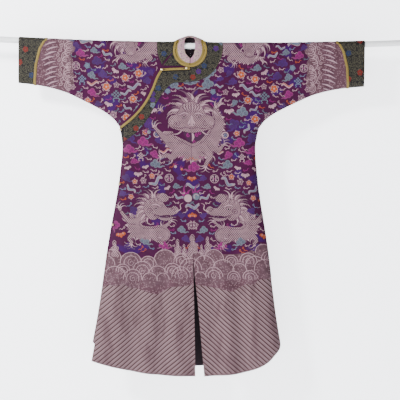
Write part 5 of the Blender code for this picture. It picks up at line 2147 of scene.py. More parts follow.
def front_dragon() -> Sketch:
    """The whole front-facing dragon: head, coiled body, four limbs and its pearls.

    Returns:
        The dragon, its origin between the eyes.
    """
    made = Sketch()
    gap = [(-34, -60), (0, -58), (58, -52), (44, -86), (22, -112), (0, -119), (-16, -100)]
    made.blob(gap, PLUM, 0, PLUM)
    for x, y in ((-14, -76), (22, -74), (34, -66), (12, -104)):
        made.curl(x, y, 8, 90, 1.2, 5, MAGENTA, 1)
    made.stroke([(2, -64), (6, -82), (1, -100)], (5, 11, 2), PALE, 1, PLUM)
    body = [(-96, -60), (-92, -92), (-48, -124), (4, -146), (60, -118)]
    body += [(96, -66), (112, -16), (98, 26), (112, 58), (136, 62)]
    made.serpent(body, (34, 58, 68, 72, 70, 64, 54, 40, 20, 4), -1)
    for x, y, angle in ((112, 48, 20), (120, 60, 60), (104, 40, 100)):
        made.flame(x, y, angle, 30, 8, PALE, 0.7)
    rows = (
        ([(-76, -88), (-110, -90), (-130, -70), (-146, -54)], (-150, -48, 115)),
        ([(-60, -140), (-84, -168), (-100, -160), (-116, -164)], (-122, -164, 185)),
        ([(50, -128), (74, -156), (66, -178), (58, -192)], (56, -196, 250)),
        ([(84, -104), (104, -138), (114, -134), (122, -122)], (126, -116, 50)),
    )
    limbs(made, rows, 34, 32)
    made.place(pearl(GREY), -178, -64, 0.9, 60)
    made.place(pearl(PALE), -70, -206, 0.7, -20)
    made.place(pearl(ORANGE), -44, -217, 0.6)
    made.claw(-122, 25, 130, 24, PALE)
    made.place(front_head(), 0, 0)
    return made


def side_dragon() -> Sketch:
    """A dragon in profile that faces right, its origin at the eye.

    Returns:
        The dragon.
    """
    made = Sketch()
    body = [(-44, -30), (-78, -44), (-88, -74), (-64, -100), (-22, -104)]
    body += [(16, -94), (44, -106), (34, -130), (0, -132)]
    made.serpent(body, (50, 56, 58, 58, 54, 46, 36, 22, 5), -1)
    rows = (
        ([(-84, -56), (-112, -54), (-130, -34), (-142, -16)], (-146, -8, 100)),
        ([(-84, -104), (-104, -118), (-112, -132), (-104, -140)], (-102, -144, 250)),
        ([(12, -88), (32, -80), (44, -72), (54, -64)], (58, -58, 50)),
        ([(-10, -116), (0, -130), (12, -138), (20, -142)], (24, -146, 300)),
    )
    limbs(made, rows, 26, 28)
    mane(made, (-12, 2), (34, 36), np.linspace(30, 250, 31), 44)
    head = [(-44, 22), (-20, 38), (10, 40), (30, 24), (46, 4), (64, 2), (78, 10), (94, 0)]
    head += [(92, -18), (70, -30), (40, -30), (16, -36), (-4, -50), (-30, -44), (-48, -16)]
    made.blob(head, DRAGON, 3, PLUM, 60)
    jaw = [(-8, -30), (16, -48), (44, -54), (66, -46), (72, -36), (44, -40), (18, -38)]
    made.blob(jaw, DRAGON, 3, PLUM, 36)
    made.stroke([(-18, -22), (8, -31), (36, -37), (68, -34)], (1, 3, 3, 1), PLUM, 5)
    made.blob([(8, 34), (14, 54), (32, 62), (52, 50), (54, 32), (34, 24)], DRAGON, 3, PLUM, 30)
    eye(made, 2, -2, 1)
    made.curl(74, -8, 9, 180, -1.2, 2.4, PLUM, 6)
    made.curl(-26, -14, 13, 0, 1.4, 2.4, PLUM, 5)
    made.stroke([(86, -14), (104, -4), (102, 14), (116, 22)], (4, 4, 3, 1), PALE, 5)
    for k in range(5):
        hair = [(-30 + 9 * k, 16 + 3 * k), (-34 + 9 * k, 34 + 2 * k)]
        made.stroke(hair, (2, 0.8), PLUM if k % 2 else PALE, 5)
    return made


# Small figures on each half of the body: drawn once, and mirrored on the centre line.
SCATTER = (
    # figure, x, height, scale, turn
    ("magenta_cloud", 200, -405, 0.95, 0), ("grey_cloud", 150, -496, 0.85, 0),
    ("grey_cloud", 199, -815, 0.8, 10), ("magenta_cloud", 122, -833, 0.8, 0),
    ("violet_cloud", 137, -398, 0.6, 20), ("violet_cloud", 268, -838, 0.7, 0), ("pale_knot", 210, -461, 0.6, 0),
    ("orange_ribbon", 109, -440, 0.7, -10), ("orange_bat", 296, -792, 0.85, -12),
    ("magenta_cloud", 316, -750, 0.7, 90), ("violet_cloud", 245, -690, 0.8, 60),
    ("blue_ribbon", 252, -600, 0.7, 40), ("pale_bat", 222, -540, 0.75, 0),
    ("magenta_cloud", 238, -486, 0.6, -20), ("ring", 142, -372, 1, 0), ("blue_ribbon", 232, -345, 0.65, 60),
    ("grey_knot", 308, -208, 0.85, 0), ("violet_cloud", 364, -125, 0.8, 0),
    ("magenta_cloud", 456, -43, 0.75, 0), ("magenta_cloud", 410, -200, 0.75, 15),
    ("blue_knot", 450, -143, 0.7, 0), ("pale_bat", 342, -250, 0.75, 20), ("orange_ribbon", 404, -160, 0.75, 0),
    ("roundel", 474, -92, 0.85, 0), ("violet_cloud", 178, -150, 0.75, 0), ("grey_cloud", 400, -30, 0.6, 0),
    ("roundel", 94, -554, 0.95, 0), ("violet_cloud", 48, -553, 0.6, 0), ("violet_cloud", 44, -706, 0.6, 180),
    ("pale_bat", 190, -205, 0.7, 10),
)
CENTRE_FIGURES = (
    # figure, x, height, scale, turn
    ("magenta_cloud", 10, -508, 1, 0), ("orange_bat", 0, -556, 0.8, 0), ("blue_ribbon", 0, -584, 0.9, 0),
    ("pearl_pale", -17, -636, 1.9, 10), ("pearl_grey", 17, -628, 1.7, -10), ("blue_ribbon", 0, -668, 0.9, 8),
    ("orange_bat", 0, -704, 0.8, 180),
)


def figures() -> dict[str, Sketch]:
    """The small figures by name.

    Returns:
        A sketch for each name.
    """
    ring = Sketch()
    ring.arc(0, 0, 12, 0, 360, 4, PALE, 2)
    ring.arc(0, 0, 5, 0, 360, 3, BLUE, 2)
    return {
        "magenta_cloud": cloud(MAGENTA, PLUM, MAUVE),
        "grey_cloud": cloud(GREY, PLUM, MAUVE),
        "violet_cloud": cloud(VIOLET, PLUM, PLUM),
        "orange_bat": bat(ORANGE, PALE),
        "pale_bat": bat(PALE, MAGENTA),
        "pale_blossom": blossom(MAUVE, PALE),
        "orange_blossom": blossom(ORANGE, PALE),
        "blue_blossom": blossom(GREY, BLUE),
        "pale_knot": knot(PALE),
        "grey_knot": knot(GREY),
        "blue_knot": knot(BLUE),
        "blue_ribbon": ribbon(BLUE, GREY),
        "orange_ribbon": ribbon(ORANGE, PALE),
        "pearl_pale": pearl(PALE),
        "pearl_grey": pearl(GREY),
        "roundel": roundel(),
        "ring": ring,
    }


def wave(radius: float, curled: bool) -> Sketch:
    """A heap of water: thin rings inside each other, some round a curl.

    Args:
        radius: the outer ring's radius.
        curled: puts a curl in its middle.

    Returns:
        The figure.
    """
    made = Sketch()
    made.disc(0, 0, radius + 1, Finish.WATER, 0, 26)
    made.arc(0, 0, radius, -5, 185, 2.4, PALE, 1)
    if curled:
        made.arc(0, 0, radius * 0.66, -30, 200, 2.2, PALE, 1)
        made.curl(0, 0, radius * 0.36, 90, 1.4, 2.0, PALE, 1)
    return made


# The rocks that stand in the water, and a rock's outline in shares of its width and height.
ROCKS = (
    # x, half_width, height
    (0, 26, 96), (-62, 17, 78), (62, 17, 78), (-36, 12, 52), (36, 12, 52), (-322, 19, 66), (322, 19, 66),
)
PEAK = (
    # across, up
    (-1, 0), (-0.72, 0.34), (-0.86, 0.5), (-0.42, 0.62), (-0.5, 0.84), (-0.1, 1), (0.3, 0.9), (0.34, 0.64),
    (0.84, 0.56), (0.7, 0.3), (1, 0),
)


def crest(x: float) -> float:
    """Height in millimetres at which the wave border starts, at x in millimetres."""
    return PER_METRE * float(by_x(CREST_TABLE, x / PER_METRE))


def border_waves() -> Sketch:
    """The wave border over the stripes: four rows of water, and the rocks that stand in it.

    Returns:
        The border, in the design's own places.
    """
    made = Sketch()
    rng = np.random.default_rng(7)
    for x, wide, tall in ROCKS:
        height = crest(x) - 16
        for k, silk in enumerate((PALE, PLUM, DRAGON)):
            w, h = wide - 1.8 * k, tall - 2.2 * k
            made.blob([(x + w * a, height + h * b) for a, b in PEAK], silk, 1 + k, steps=44)
        made.curl(x, height + tall * 0.3, wide * 0.4, 90, 1.2, 2.2, PALE, 4)
        vein = [(x, height + tall * 0.5), (x + 2, height + tall * 0.7), (x - 2, height + tall * 0.86)]
        made.stroke(vein, (3, 2.4, 1), PALE, 4)
    for row, (drop, radius) in enumerate(((26, 38), (62, 36), (98, 33))):
        for x in np.arange(-390 + 34 * (row % 2), 400, 68.0):
            size = radius * rng.uniform(0.72, 1.25)
            one = Sketch()
            figure = wave(size, rng.random() < 0.5)
            one.place(figure, x + rng.uniform(-9, 9), crest(x) - drop + rng.uniform(-8, 8))
            made.shapes += [(c, f, layer + 3 + row) for c, f, layer in one.shapes]
    return made


# What fills the plain ground: figures, and the silks of the curls between them.
FILLERS = (
    "magenta_cloud", "violet_cloud", "grey_cloud", "pale_blossom", "pale_bat", "blue_ribbon", "blue_blossom",
    "orange_blossom",
)
CURL_SILKS = (MAGENTA, PALE, PALE, GREY, ORANGE, PALE, BLUE)
# Each round's clear room and its step in millimetres, and the figures' scale, or 0 for curls.
ROUNDS = ((33, 13, 0.90), (22, 9, 0.62), (11, 7, 0.0))


def fill_ground(made: Sketch, small: dict[str, Sketch]) -> None:
    """Fills what is still plain with small clouds, ribbons and curls, alike on both halves.

    Args:
        made: the design so far, which grows.
        small: the small figures by name.
    """
    rng = np.random.default_rng(21)
    taken = np.concatenate([shape[0].mean(axis=1) for shape in made.shapes])
    for room, step, bound in ROUNDS:
        for x in np.arange(8, 486, step):
            for height in np.arange(-850, 24, step):
                if x > 290 and height < -PER_METRE * float(FORM.underarm(x / PER_METRE)) + 30:
                    continue
                if np.hypot(x, height - 20) < 120 or height > 14:
                    continue
                if x < 300 and height < -330 and x > PER_METRE * float(FORM.side_edge(height / PER_METRE)) - 8:
                    continue
                spot = np.array([x, height]) + rng.uniform(-4, 4, 2)
                if ((taken - spot) ** 2).sum(axis=1).min() < room**2:
                    continue
                before = len(made.shapes)
                turn = rng.uniform(-35, 35)
                if not bound and rng.random() < 0.12:
                    continue
                if bound:
                    one = small[FILLERS[rng.integers(len(FILLERS))]]
                    size = bound * rng.uniform(0.9, 1.15)
                else:
                    one, size, silk = Sketch(), 1.0, CURL_SILKS[rng.integers(len(CURL_SILKS))]
                    one.curl(0, 0, 5, 90, 1.1, 2.4, silk, 2)
                    one.stroke([(4, -2), (10, -6), (16, 0), (22, -4)], (2.6, 2.6, 2.2, 0.6), silk)
                made.place(one, *spot, size, turn)
                made.place(one, -spot[0], spot[1], size, -turn, flip=True)
                added = np.concatenate([shape[0].mean(axis=1) for shape in made.shapes[before:]])
                taken = np.concatenate([taken, added])


def body_design() -> Sketch:
    """The whole design of one face of the robe, in millimetres from the centre line and the rod's level.

    Returns:
        The design.
    """
    made, small = Sketch(), figures()
    for name, x, height, scale, turn in SCATTER:
        made.place(small[name], x, height, scale, turn)
        made.place(small[name], -x, height, scale, -turn, flip=True)
    for name, x, height, scale, turn in CENTRE_FIGURES:
        made.place(small[name], x, height, scale, turn)
    made.place(border_waves(), 0, 0)
    side = side_dragon()
    made.place(side, -152, -677)
    made.place(side, 152, -677, flip=True)
    shoulder = front_dragon()
    made.place(shoulder, 3, -299)
    for x, turn in ((262, -90), (-262, 90)):
        made.place(shoulder, x, PER_METRE * FORM.over_rod, 0.72, turn, flip=x < 0)
    fill_ground(made, small)
    for sign in (-1, 1):
        for k in range(11):
            height = 18 - 19 * k
            down = np.array([FORM.over_rod - height / PER_METRE])
            edge = sign * (PER_METRE * float(sleeve_wave_edge(down)[0]) + 14)
            made.place(wave(15 + 4 * (k % 3), k % 2 == 0), edge, height, 1, -sign * 90)
            made.curl(edge + sign * 36, height + 6, 9, 90, sign * 1.4, 2.4, PALE, 2)
            comb = [(edge + sign * 50, height), (edge + sign * 74, height - 5), (edge + sign * 98, height - 16)]
            made.stroke(comb, (2, 7, 3), PALE, 2, PLUM)
    return made


@dataclass
class Pattern:
    """Hangs drawn shapes on a panel: cuts them small, trims them to the panel and moves them out."""

    near: float = 0.0042
    far: float = 0.0095
    base: float = 0.0008
    step: float = 0.00012
    tiny: float = 0.0000025

    def split(self, corners: Array, tag: Array) -> tuple[Array, Array]:
        """Halves triangles at their longest edge until every edge is short enough for the form there.

        Args:
            corners: triangles in metres from the centre line, and down the cloth.
            tag: each triangle's shape number.

        Returns:
            The smaller triangles and their shape numbers.
        """
        done = []
        while len(corners):
            ends = np.roll(corners, -1, axis=1)
            length = np.linalg.norm(ends - corners, axis=2)
            middle = (ends + corners) / 2
            down = np.abs(middle[..., 1])
            edge = np.where(down < 0.36, 0.9, FORM.side_edge(FORM.over_rod - down))
            close = (down < 0.032) | (np.abs(middle[..., 0]) > edge - 0.016)
            ratio = length / np.where(close, self.near, self.far)
            longest = ratio.argmax(axis=1)
            small = ratio.max(axis=1) <= 1
            done.append((corners[small], tag[small]))
            p, tag, longest = corners[~small], tag[~small], longest[~small]
            order = ((longest[:, None] + np.arange(3)) % 3)[..., None]
            p = np.take_along_axis(p, order, axis=1)
            half = (p[:, 0] + p[:, 1]) / 2
            first, second = np.stack([p[:, 0], half, p[:, 2]], 1), np.stack([half, p[:, 1], p[:, 2]], 1)
            corners = np.concatenate([first, second])
            tag = np.concatenate([tag, tag])
        return np.concatenate([d[0] for d in done]), np.concatenate([d[1] for d in done])

    @staticmethod
    def trim(corners: Array, tag: Array, value: Array) -> tuple[Array, Array]:
        """Keeps the part of each triangle where a value given at its corners isn't negative.

        Args:
            corners: triangles.
            tag: each triangle's shape number.
            value: a value at each corner.

        Returns:
            The triangles that are left, and their shape numbers.
        """
        inside = value >= 0
        count = inside.sum(axis=1)
        kept, tags = [corners[count == 3]], [tag[count == 3]]
        for wanted in (1, 2):
            rows = np.flatnonzero(count == wanted)
            odd = np.argmax(inside[rows] == (wanted == 1), axis=1)
            order = (odd[:, None] + np.arange(3)) % 3
            p = np.take_along_axis(corners[rows], order[..., None], axis=1)
            v = np.take_along_axis(value[rows], order, axis=1)
            b = p[:, 0] + (p[:, 1] - p[:, 0]) * (v[:, 0] / (v[:, 0] - v[:, 1]))[:, None]
            c = p[:, 0] + (p[:, 2] - p[:, 0]) * (v[:, 0] / (v[:, 0] - v[:, 2]))[:, None]
            parts = [(p[:, 0], b, c)] if wanted == 1 else [(b, p[:, 1], p[:, 2]), (b, p[:, 2], c)]
            kept += [np.stack(part, 1) for part in parts]
            tags += [tag[rows]] * len(parts)
        return np.concatenate(kept), np.concatenate(tags)

    def weave(self, panel: Panel, sketch: Sketch) -> Piece:
        """Makes the part of a sketch that lies on a panel, as one thin layer of silks over it.

        Args:
            panel: the panel, or the area of a band.
            sketch: the design.

        Returns:
            The new piece, named for the panel.
        """
        corners = np.concatenate([shape[0] for shape in sketch.shapes]) / PER_METRE
        tag = np.repeat(np.arange(len(sketch.shapes)), [len(shape[0]) for shape in sketch.shapes])
        corners = np.stack([corners[..., 0], FORM.over_rod - corners[..., 1]], axis=-1)
        sign = 1 if panel.front else -1
        on = (corners[..., 0] * panel.side).max(axis=1) > 0
        corners, tag = self.split(corners[on] * [1, sign], tag[on])
        z = FORM.height(corners[..., 1])
        corners[..., 0] += by_height(CENTRE_TABLE, panel.centre_edge, np.minimum(z, 0))
        for index in range(len(panel.trims(corners[:1, :, 0], corners[:1, :, 1]))):
            corners, tag = self.trim(corners, tag, panel.trims(corners[..., 0], corners[..., 1])[index])
        turned = np.cross(corners[:, 1] - corners[:, 0], corners[:, 2] - corners[:, 0]) > 0
        corners[turned] = corners[turned][:, ::-1]
        layers = np.array([shape[2] for shape in sketch.shapes])[tag]
        rise = self.base + layers * self.step + (tag % 40) * self.tiny
        keys = np.column_stack([corners.reshape(-1, 2), np.repeat(rise, 3)]).round(7)
        found, back = np.unique(keys, axis=0, return_inverse=True)
        faces = back.reshape(-1, 3)
        whole = (faces[:, 0] != faces[:, 1]) & (faces[:, 1] != faces[:, 2]) & (faces[:, 2] != faces[:, 0])
        places = found[:, :2]
        level = panel.level(places) + panel.top + found[:, 2]
        used = sorted({shape[1] for shape in sketch.shapes}, key=lambda finish: finish.name)
        number = np.array([used.index(shape[1]) for shape in sketch.shapes])[tag]
        name = f"{panel.name}_pattern"
        piece = make_piece(name, FORM.surface(places, level), faces[whole], used, number[whole], places)
        log.info("%s: %d triangles", name, whole.sum())
        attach(piece, "root")
        return piece


def scroll(silk: Finish) -> Sketch:
    """A full brocade scroll with leaves, 26 mm wide.

    Args:
        silk: its silk.

    Returns:
        The figure.
    """
    made = Sketch()
    made.stroke([(-13, 0), (-7, -6), (0, 0), (7, 6), (13, 0)], (1, 3.4, 4.0, 3.4, 1), silk, 0)
    made.curl(-6, 4, 6.0, 260, -1.2, 2.7, silk, 0)
    made.curl(6, -4, 6.0, 80, -1.2, 2.7, silk, 0)
    made.stroke([(-1, 7), (3, 12), (9, 12)], (2, 4.6, 0.6), silk, 0)
    made.stroke([(1, -7), (-3, -12), (-9, -12)], (2, 4.6, 0.6), silk, 0)
    return made


def dark_design() -> Sketch:
    """The dark brocade: scrolls in rows that turn about, with a few flowers.

    Returns:
        The design, in the same places as the body's.
    """
    made = Sketch()
    rng = np.random.default_rng(11)
    small = scroll(Finish.OLIVE)
    for x in np.arange(-732, 740, 24.0):
        if 290 < abs(x) < 570:
            continue
        for k, height in enumerate(np.arange(-420, 170, 24.0)):
            turn = 90 * ((int(round(x / 24)) + k) % 2) + rng.uniform(-30, 30)
            made.place(small, x + rng.uniform(-2, 2), height + rng.uniform(-2, 2), 1.0, turn)
            if rng.random() < 0.14:
                silk = (Finish.INDIGO, Finish.RED, VIOLET, GREY)[rng.integers(4)]
                for a in np.radians(np.arange(0, 360, 72) + rng.uniform(0, 72)):
                    made.disc(x + 7 * math.cos(a), height + 7 * math.sin(a), 5.2, silk, 1, 9)
                made.disc(x, height, 2.4, Finish.OLIVE, 2, 8)
    degrees = np.radians(np.arange(-90, 271, 5))
    folded = np.where(degrees > math.pi / 2, math.pi - degrees, degrees)
    radius = PER_METRE * band_radius(np.degrees(folded)) - 4
    ring = np.column_stack([radius * np.cos(degrees), radius * np.sin(degrees)])
    ring[:, 1] += PER_METRE * (FORM.over_rod - FORM.neck_drop)
    lower = PER_METRE * curve_through(BAND_LOWER_TABLE, 60) + (-2.2, 3.6)
    for line in (ring, lower):
        made.strip(line, np.full(len(line), 1.3), Finish.OLIVE, 3)
    return made


@dataclass
class BandArea(Panel):
    """One face of a dark band round the neck."""

    def trims(self, x: Array, s: Array) -> list[Array]:
        """Values that are negative off the band.

        Args:
            x: places across.
            s: places down the cloth.

        Returns:
            Arrays of values, one for each edge that it keeps to.
        """
        degrees, radius = FORM.round_neck(x, s)
        outer = band_radius(degrees) - 0.0012
        found = [s if self.front else -s, radius - FORM.neck_radius - 0.0110, outer - radius]
        found.append(self.side * x - 0.0006)
        if self.front and self.side < 0:
            low = np.interp(radius, [FORM.neck_radius, *RIGHT_RADII], RIGHT_LOW_ENDS)
            found.append(degrees - low - 0.6)
        return found

    def level(self, places: Array) -> Array:
        """The band's middle over the form."""
        return body_level(places) + BANDS.band_lift


@dataclass
class UnderBandArea(BandArea):
    """The dark band between the opening and the lap's top edge."""

    def trims(self, x: Array, s: Array) -> list[Array]:
        """Values that are negative off the band.

        Args:
            x: places across.
            s: places down the cloth.

        Returns:
            Arrays of values, one for each edge that it keeps to.
        """
        _, radius = FORM.round_neck(x, s)
        across, down = zip(BANDS.opening_top, BANDS.opening_end)
        stop = np.interp(s, down, across) - BANDS.opening_width
        return [s - 0.0575, 0.1065 - s, radius - FORM.neck_radius - 0.0016, stop - 0.0008 + x, -x - 0.0005]


@dataclass
class LapBandArea(Panel):
    """The dark band on the lap, under its braid."""

    def trims(self, x: Array, s: Array) -> list[Array]:
        """Values that are negative off the band.

        Args:
            x: places across.
            s: places down the cloth.

        Returns:
            Arrays of values, one for each edge that it keeps to.
        """
        z = FORM.over_rod - s
        edge = np.vstack([curve_through(LAP_TOP_TABLE, 20), curve_through(LAP_EDGE_TABLE[:6], 60)])
        lower = curve_through(BAND_LOWER_TABLE, 60)
        return [by_x(edge, x) - z - 0.016, z - by_x(lower, x) - 0.0015, -x - 0.0008, x + 0.268]

    def level(self, places: Array) -> Array:
        """The band's middle over the form."""
        return FORM.lap_level(places[:, 0], FORM.over_rod - places[:, 1]) + BANDS.band_lift


@dataclass
class CuffArea(Panel):
    """One face of a cuff."""

    def trims(self, x: Array, s: Array) -> list[Array]:
        """Values that are negative off the cuff.

        Args:
            x: places across.
            s: places down the cloth.

        Returns:
            Arrays of values, one for each edge that it keeps to.
        """
        end = FORM.sleeve_end(self.side)
        line = np.abs(FORM.cuff_line(s, end)) + 0.0058
        found = [s if self.front else -s, np.abs(x) - line, abs(end) - 0.002 - np.abs(x)]
        return [*found, FORM.underarm(x) - np.abs(s) - 0.003]


@dataclass
class Couching:
    """Short threads laid along paths by Geometry Nodes: the chevrons of a braid, or running stitches."""

    spacing: float
    length: float
    width: float
    height: float
    slant: float
    seed: int = 3

    def tree(self) -> Tree:
        """The node tree: paths in, threads out.

        Returns:
            The tree, made once.
        """
        made = bpy.data.node_groups.get("couching")
        if made:
            return made
        made = bpy.data.node_groups.new("couching", "GeometryNodeTree")
        sockets = made.interface
        sockets.new_socket("Paths", in_out="INPUT", socket_type="NodeSocketGeometry")
        for name in ("Spacing", "Length", "Width", "Height", "Slant"):
            sockets.new_socket(name, in_out="INPUT", socket_type="NodeSocketFloat")
        sockets.new_socket("Seed", in_out="INPUT", socket_type="NodeSocketInt")
        sockets.new_socket("Thread", in_out="INPUT", socket_type="NodeSocketMaterial")
        sockets.new_socket("Threads", in_out="OUTPUT", socket_type="NodeSocketGeometry")
        given = made.nodes.new("NodeGroupInput").outputs
        line = add(made, "GeometryNodeMeshToCurve", {"Mesh": given["Paths"]})
        spaced = {"Curve": line.outputs[0], "Length": given["Spacing"]}
        steps = add(made, "GeometryNodeResampleCurve", spaced, mode="LENGTH")
        along = add(made, "GeometryNodeInputTangent").outputs[0]
        facing = add(made, "FunctionNodeAlignRotationToVector", {"Vector": along}, axis="X")
        out = add(made, "GeometryNodeInputNamedAttribute", {"Name": "out"}, data_type="FLOAT_VECTOR").outputs[0]
        upright = {"Rotation": facing.outputs[0], "Vector": out}
        facing = add(made, "FunctionNodeAlignRotationToVector", upright, axis="Z", pivot_axis="X")
        lean = add(made, "GeometryNodeInputNamedAttribute", {"Name": "lean"}, data_type="FLOAT").outputs[0]
        loose = {2: 0.88, 3: 1.12, "Seed": given["Seed"]}
        loose = add(made, "FunctionNodeRandomValue", loose, data_type="FLOAT")
        tilt = add(made, "ShaderNodeMath", {0: lean, 1: given["Slant"]}, operation="MULTIPLY").outputs[0]
        tilt = add(made, "ShaderNodeMath", {0: tilt, 1: loose.outputs[1]}, operation="MULTIPLY").outputs[0]
        turn = add(made, "FunctionNodeAxisAngleToRotation", {"Angle": tilt})
        turned = {"Rotation": facing.outputs[0], "Rotate By": turn.outputs[0]}
        turned = add(made, "FunctionNodeRotateRotation", turned, rotation_space="LOCAL")
        size = {"X": given["Length"], "Y": given["Width"], "Z": given["Height"]}
        size = add(made, "ShaderNodeCombineXYZ", size).outputs[0]
        thread = add(made, "GeometryNodeMeshUVSphere", {"Segments": 8, "Rings": 4, "Radius": 0.5})
        smooth_thread = add(made, "GeometryNodeSetShadeSmooth", {0: thread.outputs[0]})
        spread = {"Points": steps.outputs[0], "Rotation": turned.outputs[0], "Scale": size}
        threads = {**spread, "Instance": smooth_thread.outputs[0]}
        threads = add(made, "GeometryNodeInstanceOnPoints", threads)
        real = add(made, "GeometryNodeRealizeInstances", {0: threads.outputs[0]})
        done = add(made, "GeometryNodeSetMaterial", {"Geometry": real.outputs[0], "Material": given["Thread"]})
        add(made, "NodeGroupOutput", {"Threads": done.outputs[0]})
        return made

    def lay(self, name: str, rows: Sequence[tuple[Array, Array, float]], finish: Finish) -> Piece:
        """Lays threads along rows of points.

        Args:
            name: the piece's name.
            rows: each row's points, outward directions, and the side that its threads lean to.
            finish: the thread.

        Returns:
            The new piece.
        """
        points = np.vstack([row[0] for row in rows])
        starts = np.cumsum([0, *[len(row[0]) for row in rows]])
        edges = [(i, i + 1) for a, b in zip(starts, starts[1:]) for i in range(a, b - 1)]
        mesh = bpy.data.meshes.new(name)
        mesh.from_pydata(points.tolist(), edges, [])
        out = mesh.attributes.new("out", "FLOAT_VECTOR", "POINT")
        out.data.foreach_set("vector", np.vstack([row[1] for row in rows]).astype(np.float32).ravel())
        lean = mesh.attributes.new("lean", "FLOAT", "POINT")
        leaning = np.concatenate([np.full(len(row[0]), row[2], np.float32) for row in rows])
        lean.data.foreach_set("value", leaning)
        piece = link(name, mesh)
        modifier = piece.modifiers.new("couching", "NODES")
        modifier.node_group = self.tree()
        values = {"Spacing": self.spacing, "Length": self.length, "Width": self.width, "Height": self.height}
        values |= {"Slant": self.slant, "Seed": self.seed, "Thread": finish.material()}
        for item in modifier.node_group.interface.items_tree:
            if item.item_type == "SOCKET" and item.name in values:
                modifier[item.identifier] = values[item.name]
        ready = piece.evaluated_get(bpy.context.evaluated_depsgraph_get())
        plain = bpy.data.meshes.new_from_object(ready)
        piece.modifiers.clear()
        piece.data = plain
        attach(piece, "root")
        log.info("%s: %d faces", name, len(plain.polygons))
        return piece

    def on_braid(self, node: str, piece: Piece, quads: Array, closed: bool) -> Piece:
        """Lays the two leaning rows of threads along a braid.

        Args:
            node: the braid's node.
            piece: the braid.
            quads: the quads of its sheet.
            closed: joins the last thread to the first.

        Returns:
            The threads.
        """
        count = len(piece.data.vertices) // 2
        points = np.array([v.co for v in piece.data.vertices])[:count]
        out = vertex_normals(points, quads)
        rows = []
        for place, lean in zip(THREAD_PLACES, (1.0, -1.0)):
            line, up = points[place::BRAID_PLACES], out[place::BRAID_PLACES]
            if closed:
                line, up = np.vstack([line, line[:1]]), np.vstack([up, up[:1]])
            rows.append((line, up, lean))
        return self.lay(f"{node}_threads", rows, Finish.GOLD)


LIGHTS = (
    # name, place, target, size, watts, colour
    ("key", (-2.9, -2.1, 1.5), (0.0, 0.0, -0.6), 0.6, 285, "#FFFFFF"),
    ("fill", (2.6, -3.6, 0.2), (0.0, 0.0, -0.7), 2.6, 8, "#F4F6FF"),
    ("front", (-0.8, -4.8, -0.2), (0.0, 0.0, -0.7), 3.0, 30, "#FFFFFF"),
    ("behind", (0.4, 3.2, 1.0), (0.0, 0.0, -0.6), 2.6, 70, "#F6F8FF"),
)


@dataclass
class Studio:
    """A pale floor and wall, soft light from the upper left, and the camera."""

    millimetres_per_pixel: float = 4.15
    image_pixels: float = 400.0
    distance: float = 3.74
    cloth_plane: float = -0.025
    aim: tuple[float, float] = (0.0489, -0.6425)
    tilt_degrees: float = 0.66
    wall_plane: float = 0.085
    floor_height: float = -1.95
    glow: float = 2.4
    world_strength: float = 0.40
    sensor: float = 36.0

    def plain(self, name: str, corners: Sequence[tuple], colour: str, one_sided: bool) -> Piece:
        """A flat plain surface of the room.

        Args:
            name: its name.
            corners: its four corners.
            colour: its hex colour.
            one_sided: lets the view through from behind.

        Returns:
            The new object.
        """
        mesh = bpy.data.meshes.new(name)
        mesh.from_pydata(corners, [], [(0, 1, 2, 3)])
        made = bpy.data.materials.new(name)
        made.use_nodes = True
        tree = made.node_tree
        shader = tree.nodes["Principled BSDF"]
        shade = linear(colour)
        values = {"Base Color": shade, "Emission Color": shade, "Emission Strength": self.glow}
        for socket, value in {**values, "Roughness": 0.9}.items():
            shader.inputs[socket].default_value = value
        if one_sided:
            behind = add(tree, "ShaderNodeNewGeometry").outputs["Backfacing"]
            through = add(tree, "ShaderNodeBsdfTransparent")
            mix = add(tree, "ShaderNodeMixShader", {0: behind, 1: shader.outputs[0], 2: through.outputs[0]})
            tree.links.new(mix.outputs[0], tree.nodes["Material Output"].inputs[0])
        mesh.materials.append(made)
        surface = link(name, mesh)
        return surface

    def light(self, name: str, place: tuple, target: tuple, size: float, watts: float, colour: str) -> None:
        """A square soft light that faces a target.

        Args:
            name: its name.
            place: where it stands.
            target: what it faces.
            size: length of its side.
            watts: its power.
            colour: its hex colour.
        """
        data = bpy.data.lights.new(name, "AREA")
        data.shape, data.size, data.energy = "SQUARE", size, watts
        data.color = linear(colour)[:3]
        lamp = link(name, data)
        lamp.location = place
        lamp.rotation_mode = "QUATERNION"
        lamp.rotation_quaternion = (Vector(target) - Vector(place)).to_track_quat("-Z", "Y")

    def build(self) -> None:
        """Makes the room, its lights and the camera."""
        low, back = self.floor_height, self.wall_plane
        self.plain("floor", [(-9, -9, low), (9, -9, low), (9, 9, low), (-9, 9, low)], "#ECEDEF", False)
        wall_corners = [(-5, back, low), (5, back, low), (5, back, 3.0), (-5, back, 3.0)]
        backdrop = self.plain("backdrop", wall_corners, "#FAFBFF", True)
        for ray in ("shadow", "diffuse", "glossy", "transmission"):
            setattr(backdrop, f"visible_{ray}", False)
        for row in LIGHTS:
            self.light(*row)
        world = bpy.context.scene.world or bpy.data.worlds.new("room")
        bpy.context.scene.world = world
        world.use_nodes = True
        shade = world.node_tree.nodes["Background"]
        shade.inputs[0].default_value = linear("#F2F4F8")
        shade.inputs[1].default_value = self.world_strength
        half = self.millimetres_per_pixel * MM * self.image_pixels / 2
        data = bpy.data.cameras.new("camera")
        data.sensor_width = self.sensor
        data.lens = self.sensor / 2 * self.distance / half
        camera = link("camera", data)
        tilt = math.radians(self.tilt_degrees)
        up = Vector((-math.sin(tilt), 0.0, math.cos(tilt)))
        right = Vector((0.0, 1.0, 0.0)).cross(up)
        turned = Matrix((right, up, Vector((0.0, -1.0, 0.0)))).transposed()
        eye_point = (self.aim[0], self.cloth_plane - self.distance, self.aim[1])
        camera.matrix_world = Matrix.Translation(eye_point) @ turned.to_4x4()
        bpy.context.scene.camera = camera


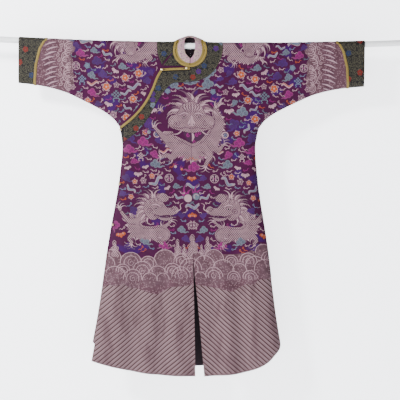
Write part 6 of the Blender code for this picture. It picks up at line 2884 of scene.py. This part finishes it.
def dark_areas(node: str) -> list[Panel]:
    """The faces of a dark band or cuff that carry its brocade's pattern.

    Args:
        node: the band's or the cuff's node.

    Returns:
        One area for each face.
    """
    side = 1 if node.endswith("left") else -1
    top = FORM.band_wall / 2
    if node == "lap_band":
        return [LapBandArea(node, -1, True, 1, (), slot="dark_brocade", top=top)]
    if node == "neck_band_under":
        return [UnderBandArea(node, -1, True, 1, (), slot="dark_brocade", top=top)]
    kind = BandArea if node.startswith("neck") else CuffArea
    top = top if kind is BandArea else FORM.wall / 2
    faces = ((True, "front"), (False, "back"))
    return [kind(f"{node}_{word}", side, front, 1, (), slot="dark_brocade", top=top) for front, word in faces]


def dress(piece: Piece, node: str) -> Piece:
    """Lets a rigid piece ride, and stand for its node.

    Args:
        piece: the piece.
        node: the node that it replaces.

    Returns:
        The piece.
    """
    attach(piece, "root")
    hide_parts(node)
    return piece


def main() -> None:
    """Builds and dresses every piece, in order, and then the room."""
    logging.basicConfig(level=logging.INFO, format="%(name)s %(message)s")
    dress(Rod().build(), "rod")
    pattern, design, dark = Pattern(), body_design(), dark_design()
    for panel in (FRONT_LEFT, BACK_LEFT, BACK_RIGHT, INNER_FRONT, OUTER_LAP):
        piece = panel.build()
        woven = pattern.weave(panel, design)
        declare(piece, panel.places, panel.quads, panel.name)
    cuffs, couching = Cuffs(), Couching(0.0024, 0.0050, 0.0012, 0.0008, 0.7)
    BANDS.build()
    cuffs.build()
    for node, (piece, places, quads) in {**BANDS.laid, **cuffs.laid}.items():
        if "braid" in node:
            dress(piece, node)
            couching.on_braid(node, piece, quads, "lap" not in node)
        else:
            woven = [pattern.weave(area, dark) for area in dark_areas(node)]
            declare(piece, places, quads, node)
    facing, places, quads = NeckFacing().build()
    declare(facing, places, quads, "neck_facing")
    for fastening in FASTENINGS:
        dress(fastening.button(), f"button_{fastening.name}")
        dress(fastening.loop(), f"loop_{fastening.name}")
    Studio().build()
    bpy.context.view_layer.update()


if __name__ == "__main__":
    main()
